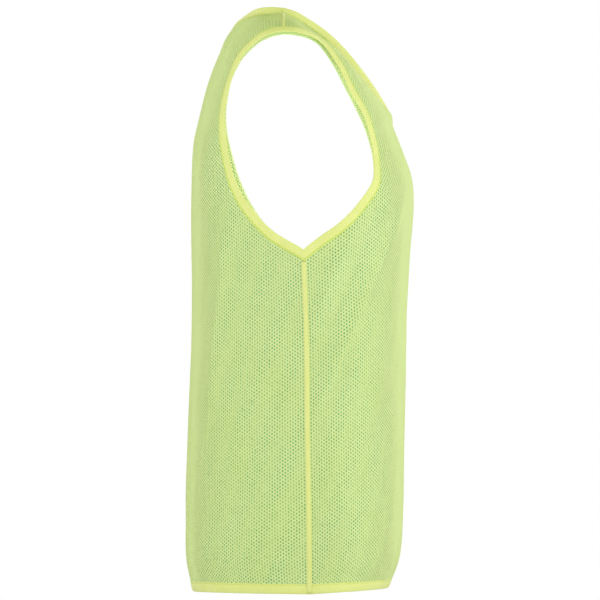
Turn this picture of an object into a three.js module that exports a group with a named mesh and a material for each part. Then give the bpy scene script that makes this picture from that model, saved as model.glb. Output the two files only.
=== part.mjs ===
// Reversible training bib: a sleeveless net vest of two plies, filled out as worn with nobody in it.
// Millimetres. +Z is up, the front faces -Y and the wearer's right is at -X.
// The origin is midway between the straps, at the height of the shoulders that carry them.
import * as THREE from 'three';

// Cloth and seams
const PANEL_THICKNESS = 2;
const BINDING_THICKNESS = 3;
const BINDING_WIDTH = 12;
const HEM_WIDTH = 12.5;
const SEAM_WIDTH = 5;
const SHOULDER_SEAM_WIDTH = 4;
const SEAM_THICKNESS = 1.2;
const SEAM_GAP = 0.3;

// Openings
const NECK_HALF_WIDTH = 98;
const NECK_RIM_CURVE = 3;
const NECK_RIM_REACH = 50;
const FRONT_NECK_HEIGHT = 588;
const BACK_NECK_HEIGHT = 711;
const ARMPIT_HEIGHT = 419;
const SHOULDER_HEIGHT = 758;
const SHOULDER_ARM_TURN = 0.5305;
const ARMPIT_CORNER_STRETCH = 1.16;

// Mesh fineness
const COLUMNS = 11;
const TORSO_ROWS = 13;
const CHEST_ROWS = 11;
const STRAP_ROWS = 22;
const BINDING_COLUMNS = 3;
const SHOULDER_SEAM_COLUMNS = 6;
const SHOULDER_SEAM_END_TURN = 0.005;
const ARMPIT_EASE = 1.5;
const NECK_EASE = 1.6;
const EDGE_SAMPLES = 240;
const QUARTER_TURN = Math.PI / 2;
const SEARCH_STEP = 2;
const SEARCH_HALVINGS = 30;
const HEIGHT_STEP = 0.5;
const TURN_STEP = 0.002;
const WALK_STEPS = 12;
const SEAM_PROBE_TURN = 0.01;
const JOIN_STEPS_PER_MM = 200;

// Each section is part of a rounded box in a plane that lies flat at the chest and stands at the shoulder.
// height: along the cloth from the hem. centre: where it meets the middle of the garment, or would, above
// the neck. side: where it meets the side seam, or would, above the armpit. square: 2 is an ellipse.
const FRONT_SECTIONS = [
  { height: 0, centreY: -128.5, centreZ: -692.5, sideY: -32.5, sideZ: -698.4, halfWidth: 200, square: 2.8 },
  { height: 42, centreY: -142.5, centreZ: -655, sideY: -32.2, sideZ: -657, halfWidth: 204, square: 2.8 },
  { height: 100, centreY: -146.8, centreZ: -600, sideY: -31.5, sideZ: -600, halfWidth: 206, square: 2.8 },
  { height: 195, centreY: -148.2, centreZ: -505, sideY: -30, sideZ: -505, halfWidth: 205, square: 2.8 },
  { height: 322, centreY: -150.4, centreZ: -378, sideY: -28.5, sideZ: -378, halfWidth: 204, square: 2.8 },
  { height: 415, centreY: -155.5, centreZ: -283, sideY: -25.2, sideZ: -284, halfWidth: 204, square: 2.8 },
  { height: 470, centreY: -159.6, centreZ: -228, sideY: -24.5, sideZ: -240, halfWidth: 206, square: 2.75 },
  { height: 505, centreY: -157.5, centreZ: -193, sideY: -24.5, sideZ: -222, halfWidth: 208, square: 2.7 },
  { height: 535, centreY: -147.5, centreZ: -163, sideY: -25, sideZ: -205, halfWidth: 210, square: 2.6 },
  { height: 575, centreY: -134.3, centreZ: -128.5, sideY: -22, sideZ: -186, halfWidth: 214, square: 2.55 },
  { height: 590, centreY: -131.2, centreZ: -113, sideY: -21, sideZ: -178, halfWidth: 217, square: 2.5 },
  { height: 637, centreY: -101.5, centreZ: -62, sideY: -18, sideZ: -147, halfWidth: 224, square: 2.4 },
  { height: 690, centreY: -64.4, centreZ: -16.4, sideY: -15, sideZ: -111, halfWidth: 230, square: 2.3 },
  { height: 737, centreY: -21.7, centreZ: 17.2, sideY: -4, sideZ: -106, halfWidth: 230, square: 2.15 },
  { height: 758, centreY: -1.3, centreZ: 27.6, sideY: 0, sideZ: -101, halfWidth: 226, square: 2 },
];
const BACK_SECTIONS = [
  { height: 0, centreY: 110, centreZ: -696.6, sideY: -32.5, sideZ: -698.4, halfWidth: 200, square: 2.8 },
  { height: 42, centreY: 118.2, centreZ: -655, sideY: -32.2, sideZ: -657, halfWidth: 204, square: 2.8 },
  { height: 100, centreY: 118.2, centreZ: -598, sideY: -31.5, sideZ: -600, halfWidth: 206, square: 2.8 },
  { height: 195, centreY: 116.3, centreZ: -505, sideY: -30, sideZ: -505, halfWidth: 205, square: 2.8 },
  { height: 322, centreY: 111.8, centreZ: -378, sideY: -28.5, sideZ: -378, halfWidth: 204, square: 2.8 },
  { height: 415, centreY: 111.1, centreZ: -284, sideY: -25.2, sideZ: -284, halfWidth: 204, square: 2.8 },
  { height: 490, centreY: 111.1, centreZ: -208, sideY: -24.5, sideZ: -226, halfWidth: 206, square: 2.75 },
  { height: 548, centreY: 109.2, centreZ: -152, sideY: -24, sideZ: -190, halfWidth: 210, square: 2.6 },
  { height: 582, centreY: 102.6, centreZ: -120, sideY: -20, sideZ: -170, halfWidth: 212, square: 2.5 },
  { height: 630, centreY: 91, centreZ: -75, sideY: -14, sideZ: -145, halfWidth: 218, square: 2.4 },
  { height: 672, centreY: 76.9, centreZ: -38.5, sideY: -9, sideZ: -127, halfWidth: 223, square: 2.3 },
  { height: 697, centreY: 66.4, centreZ: -16.5, sideY: -7, sideZ: -120, halfWidth: 224, square: 2.2 },
  { height: 727, centreY: 36.6, centreZ: 18.6, sideY: -4, sideZ: -113, halfWidth: 225, square: 2.1 },
  { height: 743, centreY: 17, centreZ: 26.6, sideY: -2, sideZ: -107, halfWidth: 225.5, square: 2.05 },
  { height: 758, centreY: -1.3, centreZ: 27.6, sideY: 0, sideZ: -101, halfWidth: 226, square: 2 },
];

// The neck's edge stands up: how far the cloth drops just beside it, by height
const FRONT_NECK_RIM = [
  { height: 588, drop: 0 },
  { height: 612, drop: 6 },
  { height: 640, drop: 9.3 },
  { height: 700, drop: 10.5 },
  { height: 735, drop: 8 },
  { height: 758, drop: 4 },
];
const BACK_NECK_RIM = [
  { height: 711, drop: 0 },
  { height: 722, drop: 4.5 },
  { height: 738, drop: 7.5 },
  { height: 758, drop: 4 },
];

// Edge of each armhole as seen from the side, from the armpit up to the shoulder. The wearer's left one
// hangs a little tighter, in front of the shoulder and behind the armpit.
const FRONT_ARMHOLE_RIGHT = [
  { y: -25, z: -279.5 },
  { y: -45, z: -264 },
  { y: -67.2, z: -248.5 },
  { y: -90.4, z: -225 },
  { y: -107, z: -197 },
  { y: -110.5, z: -170 },
  { y: -108, z: -146 },
  { y: -100, z: -116 },
  { y: -84, z: -83 },
  { y: -69, z: -52.5 },
  { y: -46, z: -24.5 },
  { y: -14, z: -15.2 },
  { y: -0.6, z: -14.5 },
];
const FRONT_ARMHOLE_LEFT = [
  { y: -25, z: -279.5 },
  { y: -45, z: -266 },
  { y: -67.2, z: -250.5 },
  { y: -91, z: -227 },
  { y: -108.5, z: -197 },
  { y: -111, z: -170 },
  { y: -106, z: -144 },
  { y: -95.5, z: -116 },
  { y: -81, z: -83 },
  { y: -64, z: -50 },
  { y: -41, z: -23.5 },
  { y: -14, z: -15.4 },
  { y: -0.6, z: -14.5 },
];
const BACK_ARMHOLE_RIGHT = [
  { y: -25, z: -279.5 },
  { y: 13.4, z: -256.5 },
  { y: 38, z: -230.5 },
  { y: 60, z: -189 },
  { y: 69, z: -138 },
  { y: 68.5, z: -103 },
  { y: 63, z: -74 },
  { y: 51, z: -46 },
  { y: 28, z: -24 },
  { y: 12.5, z: -16.6 },
  { y: -0.6, z: -14.5 },
];
const BACK_ARMHOLE_LEFT = [
  { y: -25, z: -279.5 },
  { y: 13.4, z: -257.5 },
  { y: 35.2, z: -230.5 },
  { y: 54.7, z: -189 },
  { y: 67.5, z: -138 },
  { y: 68.5, z: -103 },
  { y: 63, z: -74 },
  { y: 51, z: -46 },
  { y: 28, z: -24 },
  { y: 12.5, z: -17 },
  { y: -0.6, z: -14.5 },
];

// Broad soft folds. height and turn: where the middle is, turn 0 in the middle and 1 at the side.
// lean: how far it drifts sideways over its length, as a share of the turn.
const FRONT_FOLDS = [
  { height: 640, turn: 0.5, length: 62, width: 0.09, depth: -3.5, lean: -0.04 },
  { height: 500, turn: 0.58, length: 50, width: 0.1, depth: 3, lean: 0.1 },
  { height: 330, turn: 0.72, length: 95, width: 0.12, depth: 2.6, lean: 0.14 },
  { height: 210, turn: 0.5, length: 90, width: 0.13, depth: -2.6, lean: -0.12 },
  { height: 80, turn: 0.74, length: 60, width: 0.1, depth: 2.4, lean: 0.06 },
];
const BACK_FOLDS = [
  { height: 560, turn: 0.42, length: 70, width: 0.12, depth: 3, lean: 0.08 },
  { height: 420, turn: 0.7, length: 85, width: 0.11, depth: -2.8, lean: 0.16 },
  { height: 300, turn: 0.48, length: 100, width: 0.12, depth: 2.8, lean: 0.12 },
  { height: 150, turn: 0.72, length: 90, width: 0.12, depth: -2.4, lean: 0.1 },
];

const TURN_FADE = 0.16;
const SHOULDER_FADE = 300;

const CLOTH = { color: 0xcfe28e, roughness: 0.85, metalness: 0 };
const TRIM = { color: 0xe4e887, roughness: 0.75, metalness: 0 };

const FRONT = {
  sections: FRONT_SECTIONS,
  armholes: { right: FRONT_ARMHOLE_RIGHT, left: FRONT_ARMHOLE_LEFT },
  folds: FRONT_FOLDS,
  neckHeight: FRONT_NECK_HEIGHT,
  neckRim: FRONT_NECK_RIM,
};
const BACK = {
  sections: BACK_SECTIONS,
  armholes: { right: BACK_ARMHOLE_RIGHT, left: BACK_ARMHOLE_LEFT },
  folds: BACK_FOLDS,
  neckHeight: BACK_NECK_HEIGHT,
  neckRim: BACK_NECK_RIM,
};
const SIDES = ['right', 'left'];

// Smooth curve through one column of a table, by the height column
function smooth(table, column, height) {
  let at = 0;
  while (at < table.length - 2 && height > table[at + 1].height) at += 1;
  const slopeAt = (row) => {
    const before = table[Math.max(row - 1, 0)];
    const after = table[Math.min(row + 1, table.length - 1)];
    return (after[column] - before[column]) / (after.height - before.height);
  };
  const start = table[at];
  const end = table[at + 1];
  const span = end.height - start.height;
  const t = (height - start.height) / span;
  const rise = end[column] - start[column];
  const startSlope = slopeAt(at) * span;
  const endSlope = slopeAt(at + 1) * span;
  const bend = startSlope + endSlope - 2 * rise;
  return start[column] + t * (startSlope + t * (rise - startSlope - bend + t * bend));
}

function section(panel, height) {
  const read = (column) => smooth(panel.sections, column, height);
  return {
    centre: new THREE.Vector2(read('centreY'), read('centreZ')),
    side: new THREE.Vector2(read('sideY'), read('sideZ')),
    halfWidth: read('halfWidth'),
    square: read('square'),
  };
}

// Half width of the neck's opening at a height
function neckHalfWidth(panel, height) {
  const rise = Math.min((height - panel.neckHeight) / (SHOULDER_HEIGHT - panel.neckHeight), 1);
  return NECK_HALF_WIDTH * Math.sqrt(1 - (1 - rise) ** 2);
}

// How far the cloth drops below the plain section beside the neck's standing edge
function rimDrop(panel, height, width) {
  if (height <= panel.neckHeight) return 0;
  const beside = Math.max(Math.abs(width) - neckHalfWidth(panel, height), -NECK_RIM_CURVE);
  const fade = 1 - THREE.MathUtils.smoothstep(beside, 0, NECK_RIM_REACH);
  return smooth(panel.neckRim, 'drop', height) * (1 - Math.exp(-beside / NECK_RIM_CURVE)) * fade;
}

// Point of the plain form at a height and a turn
function formPoint(panel, height, turn) {
  const { centre, side, halfWidth, square } = section(panel, height);
  const across = Math.sin(turn * QUARTER_TURN);
  const along = Math.cos(turn * QUARTER_TURN);
  const reach = (Math.abs(across) ** square + Math.abs(along) ** square) ** (-1 / square);
  const width = halfWidth * across * reach;
  const outward = centre.clone().sub(side);
  const distance = along * reach * outward.length() - rimDrop(panel, height, width);
  const place = side.clone().addScaledVector(outward.normalize(), distance);
  return new THREE.Vector3(width, place.x, place.y);
}

// Normal from the height and turn directions, out of the back and into the front
function crossing(pointAt, height, turn) {
  const above = Math.min(height + HEIGHT_STEP, SHOULDER_HEIGHT);
  const up = pointAt(above, turn).sub(pointAt(height - HEIGHT_STEP, turn));
  const around = pointAt(height, turn + TURN_STEP).sub(pointAt(height, turn - TURN_STEP));
  return up.cross(around).normalize();
}

// Folds fade out at the middle, the side seams and the shoulders
function foldDepth(panel, height, turn) {
  const room = Math.min(turn, 1 - turn, (SHOULDER_HEIGHT - height) / SHOULDER_FADE);
  const fade = THREE.MathUtils.smoothstep(room, 0, TURN_FADE);
  let depth = 0;
  for (const fold of panel.folds) {
    const up = (height - fold.height) / fold.length;
    const across = (turn - fold.turn - fold.lean * up) / fold.width;
    depth += fold.depth * Math.exp(-up * up - across * across);
  }
  return depth * fade;
}

function facing(panel) {
  return panel === FRONT ? -1 : 1;
}

function clothPoint(panel, height, turn) {
  const plain = (h, t) => formPoint(panel, h, t);
  const normal = crossing(plain, height, turn).multiplyScalar(facing(panel));
  return plain(height, turn).addScaledVector(normal, foldDepth(panel, height, Math.abs(turn)));
}

function onePanelNormal(panel, height, turn) {
  const folded = (h, t) => clothPoint(panel, h, t);
  return crossing(folded, height, turn).multiplyScalar(facing(panel));
}

// Outward normal, shared by both panels along the shoulder and side seams
function clothNormal(panel, height, turn) {
  const normal = onePanelNormal(panel, height, turn);
  if (height > SHOULDER_HEIGHT - HEIGHT_STEP || turn > 1 - TURN_STEP) {
    normal.add(onePanelNormal(panel === FRONT ? BACK : FRONT, height, turn));
  }
  if (turn === 0) normal.x = 0;
  return normal.normalize();
}

// Turn at which a section passes a half width
function turnAtWidth(panel, height, width) {
  const { halfWidth, square } = section(panel, height);
  const across = width / halfWidth;
  const along = (1 - across ** square) ** (1 / square);
  return Math.atan2(across, along) / QUARTER_TURN;
}

// Height and turn of the point that the side view shows at y and z, looked for upwards from a height
function placeInSideView(panel, y, z, startHeight) {
  const seen = new THREE.Vector2(y, z);
  const leftOf = (height) => {
    const { centre, side } = section(panel, height);
    return centre.clone().sub(side).cross(seen.clone().sub(side));
  };
  let low = startHeight;
  let high = low + SEARCH_STEP;
  while (leftOf(low) * leftOf(high) > 0 && high < SHOULDER_HEIGHT) {
    low = high;
    high += SEARCH_STEP;
  }
  for (let step = 0; step < SEARCH_HALVINGS; step += 1) {
    const middle = (low + high) / 2;
    if (leftOf(middle) * leftOf(high) > 0) high = middle;
    else low = middle;
  }
  const height = (low + high) / 2;
  const { centre, side, square } = section(panel, height);
  const along = Math.min(seen.distanceTo(side) / centre.distanceTo(side), 1);
  const across = (1 - along ** square) ** (1 / square);
  return { height, turn: Math.atan2(across, along) / QUARTER_TURN };
}

// A place moved straight over the cloth by a distance, starting in a direction of space
function walk(panel, place, start, distance) {
  let { height, turn } = place;
  let direction = start;
  for (let step = 0; step < WALK_STEPS; step += 1) {
    const here = clothPoint(panel, height, turn);
    const up = here.clone().sub(clothPoint(panel, height - HEIGHT_STEP, turn)).divideScalar(HEIGHT_STEP);
    const around = clothPoint(panel, height, turn + TURN_STEP).sub(here).divideScalar(TURN_STEP);
    const upAround = up.dot(around);
    const rise = around.dot(around) * up.dot(direction) - upAround * around.dot(direction);
    const swing = up.dot(up) * around.dot(direction) - upAround * up.dot(direction);
    direction = up.clone().multiplyScalar(rise).addScaledVector(around, swing);
    const scale = distance / WALK_STEPS / direction.length();
    height += rise * scale;
    turn += swing * scale;
    direction.normalize();
  }
  return { height: Math.min(height, SHOULDER_HEIGHT), turn };
}

// Edge of the neck from the middle of the panel up to the shoulder
function neckEdge(panel) {
  const places = [];
  for (let index = 0; index <= EDGE_SAMPLES; index += 1) {
    const rise = (index / EDGE_SAMPLES) ** 2;
    const height = panel.neckHeight + (SHOULDER_HEIGHT - panel.neckHeight) * rise;
    places.push({ height, turn: turnAtWidth(panel, height, neckHalfWidth(panel, height)) });
  }
  return places;
}

// Edge of the armhole from the armpit up to the shoulder
function armholeEdge(panel, side) {
  const outline = new THREE.CatmullRomCurve3(
    panel.armholes[side].map(({ y, z }) => new THREE.Vector3(0, y, z)),
  );
  const places = [{ height: ARMPIT_HEIGHT, turn: 1 }];
  for (let index = 1; index <= EDGE_SAMPLES; index += 1) {
    const seen = outline.getPoint(index / EDGE_SAMPLES);
    places.push(placeInSideView(panel, seen.y, seen.z, places[index - 1].height - SEARCH_STEP));
  }
  places[EDGE_SAMPLES] = { height: SHOULDER_HEIGHT, turn: SHOULDER_ARM_TURN };
  return places;
}

// The binding's open edge, its bound edge and the panel's edge beside it, as places by sample.
// away is 1 where the panel lies further from the middle than the edge does, as at the neck, or else -1.
function edging(panel, places, away, cornerStretch) {
  const points = places.map((place) => clothPoint(panel, place.height, place.turn));
  const last = places.length - 1;
  return places.map((place, index) => {
    if (index === 0) {
      const down = clothPoint(panel, place.height - HEIGHT_STEP, place.turn).sub(points[0]);
      const heightOf = (distance) => walk(panel, place, down, distance * cornerStretch).height;
      const bound = { height: heightOf(BINDING_WIDTH), turn: place.turn };
      const cut = { height: heightOf(BINDING_WIDTH + SEAM_GAP), turn: place.turn };
      return { open: place, bound, cut };
    }
    if (index === last) {
      const across = clothPoint(FRONT, place.height, place.turn + TURN_STEP).sub(points[last]);
      const turnOf = (distance) => walk(FRONT, place, across.clone().multiplyScalar(away), distance).turn;
      const bound = { height: place.height, turn: turnOf(BINDING_WIDTH) };
      const cut = { height: place.height, turn: turnOf(BINDING_WIDTH + SEAM_GAP) };
      return { open: place, bound, cut };
    }
    const along = points[index + 1].clone().sub(points[index - 1]);
    const direction = clothNormal(panel, place.height, place.turn).cross(along).normalize();
    direction.multiplyScalar(away * facing(panel));
    const bound = walk(panel, place, direction, BINDING_WIDTH);
    const cut = walk(panel, place, direction, BINDING_WIDTH + SEAM_GAP);
    return { open: place, bound, cut };
  });
}

// Value along a sampled edge where the chosen line reaches a height
function onEdge(samples, line, height, wanted) {
  let at = 0;
  while (at < samples.length - 2 && samples[at + 1][line].height <= height) at += 1;
  const start = samples[at];
  const end = samples[at + 1];
  const span = end[line].height - start[line].height;
  const t = span > 0 ? THREE.MathUtils.clamp((height - start[line].height) / span, 0, 1) : 1;
  return {
    height: THREE.MathUtils.lerp(start[wanted].height, end[wanted].height, t),
    turn: THREE.MathUtils.lerp(start[wanted].turn, end[wanted].turn, t),
  };
}

for (const panel of [FRONT, BACK]) {
  panel.neck = edging(panel, neckEdge(panel), 1, 1);
  panel.arm = {};
  for (const side of SIDES) {
    panel.arm[side] = edging(panel, armholeEdge(panel, side), -1, ARMPIT_CORNER_STRETCH);
  }
}

// Heights from one to another, closer together at the start where ease is over 1
function heights(from, to, rows, ease) {
  const list = [];
  for (let row = 0; row < rows; row += 1) {
    list.push(from + (to - from) * (row / rows) ** ease);
  }
  return list;
}

// Heights of the rows from the armpit to the neck, and of those up the strap, on the line chosen
function chestHeights(panel, line) {
  return heights(panel.arm.right[0][line].height, panel.neck[0].cut.height, CHEST_ROWS, ARMPIT_EASE);
}

function strapHeights(panel, line) {
  return [...heights(panel.neck[0][line].height, SHOULDER_HEIGHT, STRAP_ROWS, NECK_EASE), SHOULDER_HEIGHT];
}

// A sheet is a list of surface points, each with its outward normal, and triangles between them
function newSheet() {
  return { points: [], normals: [], triangles: [] };
}

function addGrid(sheet, grid, flip) {
  const first = sheet.points.length;
  const columns = grid[0].length;
  for (const row of grid) {
    for (const { point, normal } of row) {
      sheet.points.push(point);
      sheet.normals.push(normal);
    }
  }
  for (let row = 0; row < grid.length - 1; row += 1) {
    for (let column = 0; column < columns - 1; column += 1) {
      const a = first + row * columns + column;
      const b = a + 1;
      const c = a + columns;
      const d = c + 1;
      const pair = flip ? [[a, c, b], [b, c, d]] : [[a, b, c], [b, d, c]];
      sheet.triangles.push(...pair);
    }
  }
}

function mirrored(sheet) {
  const across = new THREE.Vector3(-1, 1, 1);
  return {
    points: sheet.points.map((point) => point.clone().multiply(across)),
    normals: sheet.normals.map((normal) => normal.clone().multiply(across)),
    triangles: sheet.triangles.map(([a, b, c]) => [a, c, b]),
  };
}

function joined(...sheets) {
  const whole = newSheet();
  const known = new Map();
  for (const sheet of sheets) {
    const index = sheet.points.map((point, at) => {
      const key = point.toArray().map((value) => Math.round(value * JOIN_STEPS_PER_MM)).join();
      if (!known.has(key)) {
        known.set(key, whole.points.length);
        whole.points.push(point);
        whole.normals.push(new THREE.Vector3());
      }
      whole.normals[known.get(key)].add(sheet.normals[at]);
      return known.get(key);
    });
    for (const [a, b, c] of sheet.triangles) {
      const corners = [index[a], index[b], index[c]];
      if (new Set(corners).size === 3) whole.triangles.push(corners);
    }
  }
  return whole;
}

// Closed wall between two levels over the sheet, outer and inner, measured along the normals
function wall(sheet, outer, inner) {
  const count = sheet.points.length;
  const vertices = [];
  for (const level of [outer, inner]) {
    sheet.points.forEach((point, at) => {
      const moved = point.clone().addScaledVector(sheet.normals[at].clone().normalize(), level);
      vertices.push(moved.x, moved.y, moved.z);
    });
  }
  const edges = new Map();
  const index = [];
  for (const [a, b, c] of sheet.triangles) {
    index.push(a, b, c, count + a, count + c, count + b);
    for (const [from, to] of [[a, b], [b, c], [c, a]]) {
      if (edges.has(`${to},${from}`)) edges.delete(`${to},${from}`);
      else edges.set(`${from},${to}`, [from, to]);
    }
  }
  for (const [from, to] of edges.values()) {
    index.push(from, count + from, to, to, count + from, count + to);
  }
  const geometry = new THREE.BufferGeometry();
  geometry.setAttribute('position', new THREE.Float32BufferAttribute(vertices, 3));
  geometry.setIndex(index);
  return geometry;
}

function surfaceVertex(panel, { height, turn }) {
  const point = clothPoint(panel, height, turn);
  if (turn === 0) point.x = 0;
  return { point, normal: clothNormal(panel, height, turn) };
}

// Places evenly spread from one place to another
function between(start, end, columns) {
  const list = [];
  for (let column = 0; column <= columns; column += 1) {
    list.push({
      height: THREE.MathUtils.lerp(start.height, end.height, column / columns),
      turn: THREE.MathUtils.lerp(start.turn, end.turn, column / columns),
    });
  }
  return list;
}

// The turn just short of the side seam, at a distance from it
function seamTurn(panel, height, distance) {
  const seam = clothPoint(panel, height, 1);
  const beside = clothPoint(panel, height, 1 - SEAM_PROBE_TURN);
  return 1 - (distance * SEAM_PROBE_TURN) / seam.distanceTo(beside);
}

// Half of a panel on +X, with the armhole of one side
function panelHalfSheet(panel, side) {
  const low = HEM_WIDTH + SEAM_GAP;
  const { neck } = panel;
  const arm = panel.arm[side];
  const rows = [
    ...heights(low, arm[0].cut.height, TORSO_ROWS, 1),
    ...chestHeights(panel, 'cut'),
    ...strapHeights(panel, 'cut'),
  ];
  const grid = rows.map((row) => {
    const height = Math.min(row, SHOULDER_HEIGHT - SEAM_GAP / 2);
    const innerTurn = row <= neck[0].cut.height ? 0 : onEdge(neck, 'cut', row, 'cut').turn;
    const armTurn = row <= arm[0].cut.height ? 1 : onEdge(arm, 'cut', row, 'cut').turn;
    const outerTurn = Math.min(armTurn, seamTurn(panel, height, SEAM_GAP / 2));
    const start = { height, turn: innerTurn };
    return between(start, { height, turn: outerTurn }, COLUMNS).map((place) => surfaceVertex(panel, place));
  });
  const half = newSheet();
  addGrid(half, grid, panel === BACK);
  return half;
}

function panelSheet(panel) {
  return joined(panelHalfSheet(panel, 'left'), mirrored(panelHalfSheet(panel, 'right')));
}

function bindingSheet(panel, samples, rows, flip) {
  const sheet = newSheet();
  const grid = rows.map((height) => {
    const bound = onEdge(samples, 'bound', height, 'bound');
    const open = onEdge(samples, 'bound', height, 'open');
    return between(bound, open, BINDING_COLUMNS).map((place) => surfaceVertex(panel, place));
  });
  addGrid(sheet, grid, flip);
  return sheet;
}

function neckBindingSheet() {
  const halves = [FRONT, BACK].map((panel) => (
    bindingSheet(panel, panel.neck, strapHeights(panel, 'bound'), panel === FRONT)
  ));
  return joined(...halves, ...halves.map(mirrored));
}

// Armhole binding of one side, on +X
function armholeBindingSheet(side) {
  const halves = [FRONT, BACK].map((panel) => {
    const rows = [...chestHeights(panel, 'bound'), ...strapHeights(panel, 'cut')];
    return bindingSheet(panel, panel.arm[side], rows, panel === BACK);
  });
  return joined(...halves);
}

function hemBindingSheet(panel) {
  const half = newSheet();
  const rows = between({ height: 0, turn: 0 }, { height: HEM_WIDTH, turn: 0 }, BINDING_COLUMNS);
  const grid = rows.map(({ height }) => {
    const end = { height, turn: seamTurn(panel, height, SEAM_GAP / 2) };
    return between({ height, turn: 0 }, end, COLUMNS).map((place) => surfaceVertex(panel, place));
  });
  addGrid(half, grid, panel === BACK);
  return joined(half, mirrored(half));
}

// Seam tape up the side, on the panels from above the hem's binding to below the armhole's
function sideSeamSheet() {
  const top = FRONT.arm.right[0].cut.height - SEAM_GAP;
  const rows = [...heights(HEM_WIDTH, top, TORSO_ROWS, 1), top];
  const halves = [FRONT, BACK].map((panel) => {
    const sheet = newSheet();
    const grid = rows.map((height) => {
      const start = { height, turn: seamTurn(panel, height, SEAM_WIDTH / 2) };
      return between(start, { height, turn: 1 }, 1).map((place) => surfaceVertex(panel, place));
    });
    addGrid(sheet, grid, panel === BACK);
    return sheet;
  });
  return joined(...halves);
}

// Seam tape over the strap between its two bindings, on +X
function shoulderSeamSheet() {
  const halves = [FRONT, BACK].map((panel) => {
    const sheet = newSheet();
    const inner = panel.neck[EDGE_SAMPLES].cut.turn + SHOULDER_SEAM_END_TURN;
    const outer = panel.arm.right[EDGE_SAMPLES].cut.turn - SHOULDER_SEAM_END_TURN;
    const start = SHOULDER_HEIGHT - SHOULDER_SEAM_WIDTH / 2;
    const grid = [start, SHOULDER_HEIGHT].map((height) => {
      const end = { height, turn: outer };
      const places = between({ height, turn: inner }, end, SHOULDER_SEAM_COLUMNS);
      return places.map((place) => surfaceVertex(panel, place));
    });
    addGrid(sheet, grid, panel === BACK);
    return sheet;
  });
  return joined(...halves);
}

// Levels of each wall from the cloth's face, which is the panels' outer side
const PANEL_WALL = { outer: 0, inner: -PANEL_THICKNESS };
const BINDING_WALL = {
  outer: (BINDING_THICKNESS - PANEL_THICKNESS) / 2,
  inner: -(BINDING_THICKNESS + PANEL_THICKNESS) / 2,
};
const SEAM_WALL = { outer: SEAM_GAP + SEAM_THICKNESS, inner: SEAM_GAP };

const pieces = [
  { name: 'front_panel', sheet: panelSheet(FRONT), levels: PANEL_WALL, look: CLOTH },
  { name: 'back_panel', sheet: panelSheet(BACK), levels: PANEL_WALL, look: CLOTH },
  { name: 'neck_binding', sheet: neckBindingSheet(), levels: BINDING_WALL, look: TRIM },
  { name: 'hem_binding_front', sheet: hemBindingSheet(FRONT), levels: BINDING_WALL, look: TRIM },
  { name: 'hem_binding_back', sheet: hemBindingSheet(BACK), levels: BINDING_WALL, look: TRIM },
];
for (const side of SIDES) {
  const place = side === 'left' ? (sheet) => sheet : mirrored;
  const binding = place(armholeBindingSheet(side));
  const sideSeam = place(sideSeamSheet());
  const shoulderSeam = place(shoulderSeamSheet());
  pieces.push(
    { name: `armhole_binding_${side}`, sheet: binding, levels: BINDING_WALL, look: TRIM },
    { name: `side_seam_${side}`, sheet: sideSeam, levels: SEAM_WALL, look: TRIM },
    { name: `shoulder_seam_${side}`, sheet: shoulderSeam, levels: SEAM_WALL, look: TRIM },
  );
}

const bib = new THREE.Group();
for (const { name, sheet, levels, look } of pieces) {
  const mesh = new THREE.Mesh(wall(sheet, levels.outer, levels.inner), new THREE.MeshStandardMaterial(look));
  mesh.name = name;
  bib.add(mesh);
}

export default bib;
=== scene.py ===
# Reversible training bib for Blender: two plies of net cloth with bound edges, filled out as worn.
# The cloth's sizes are in millimetres, as in the CAD source, and become metres when a mesh is made.
# +Z is up, the front faces -Y and the wearer's right is at -X.
import math

import bmesh
import bpy
import numpy as np
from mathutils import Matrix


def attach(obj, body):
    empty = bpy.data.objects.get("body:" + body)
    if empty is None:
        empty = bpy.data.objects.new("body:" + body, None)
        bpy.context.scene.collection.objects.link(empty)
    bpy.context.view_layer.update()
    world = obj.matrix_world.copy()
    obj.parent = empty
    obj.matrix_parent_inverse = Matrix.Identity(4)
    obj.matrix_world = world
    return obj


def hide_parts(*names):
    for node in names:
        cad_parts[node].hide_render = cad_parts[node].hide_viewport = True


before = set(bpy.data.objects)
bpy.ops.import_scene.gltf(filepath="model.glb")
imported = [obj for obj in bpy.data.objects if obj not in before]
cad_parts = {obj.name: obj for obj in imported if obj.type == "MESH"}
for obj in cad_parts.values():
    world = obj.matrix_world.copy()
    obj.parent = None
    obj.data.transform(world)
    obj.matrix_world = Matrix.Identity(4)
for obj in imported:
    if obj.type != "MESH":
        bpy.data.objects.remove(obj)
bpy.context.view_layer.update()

MM = 0.001

# Cloth and seams, as in the CAD source
BINDING_WIDTH = 12
HEM_WIDTH = 12.5
NECK_HALF_WIDTH = 98
NECK_RIM_CURVE = 3
NECK_RIM_REACH = 50
FRONT_NECK_HEIGHT = 588
BACK_NECK_HEIGHT = 711
ARMPIT_HEIGHT = 419
SHOULDER_HEIGHT = 758
SHOULDER_ARM_TURN = 0.5305
ARMPIT_CORNER_STRETCH = 1.16
QUARTER_TURN = math.pi / 2
EDGE_SAMPLES = 240
TURN_FADE = 0.16
CREASE_FADE = 0.04
SHOULDER_FADE = 300
HEIGHT_STEP = 0.5
TURN_STEP = 0.002
WALK_STEPS = 12
SEARCH_STEP = 2
SEARCH_HALVINGS = 22
SEAM_BLEND_TURN = 0.03
SEAM_BLEND_HEIGHT = 22

# Flat cloth, in millimetres, on the maps that carry the weave
CLOTH_MAP_SCALE = 0.01

# Net: the spacing of its holes in the flat cloth, their size and how far they stray
COLUMN_SPACING = 3.12
ROW_SPACING = 4.2
HOLE_HALF_WIDTH = 0.9
HOLE_HALF_HEIGHT = 1.08
HOLE_DIP = 0.6
HOLE_TOP_SHARE = 0.52
HOLE_UNEVENNESS = 0.07
HOLE_SHIFT = 0.09
NET_TOP_GAP = 0.5

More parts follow.
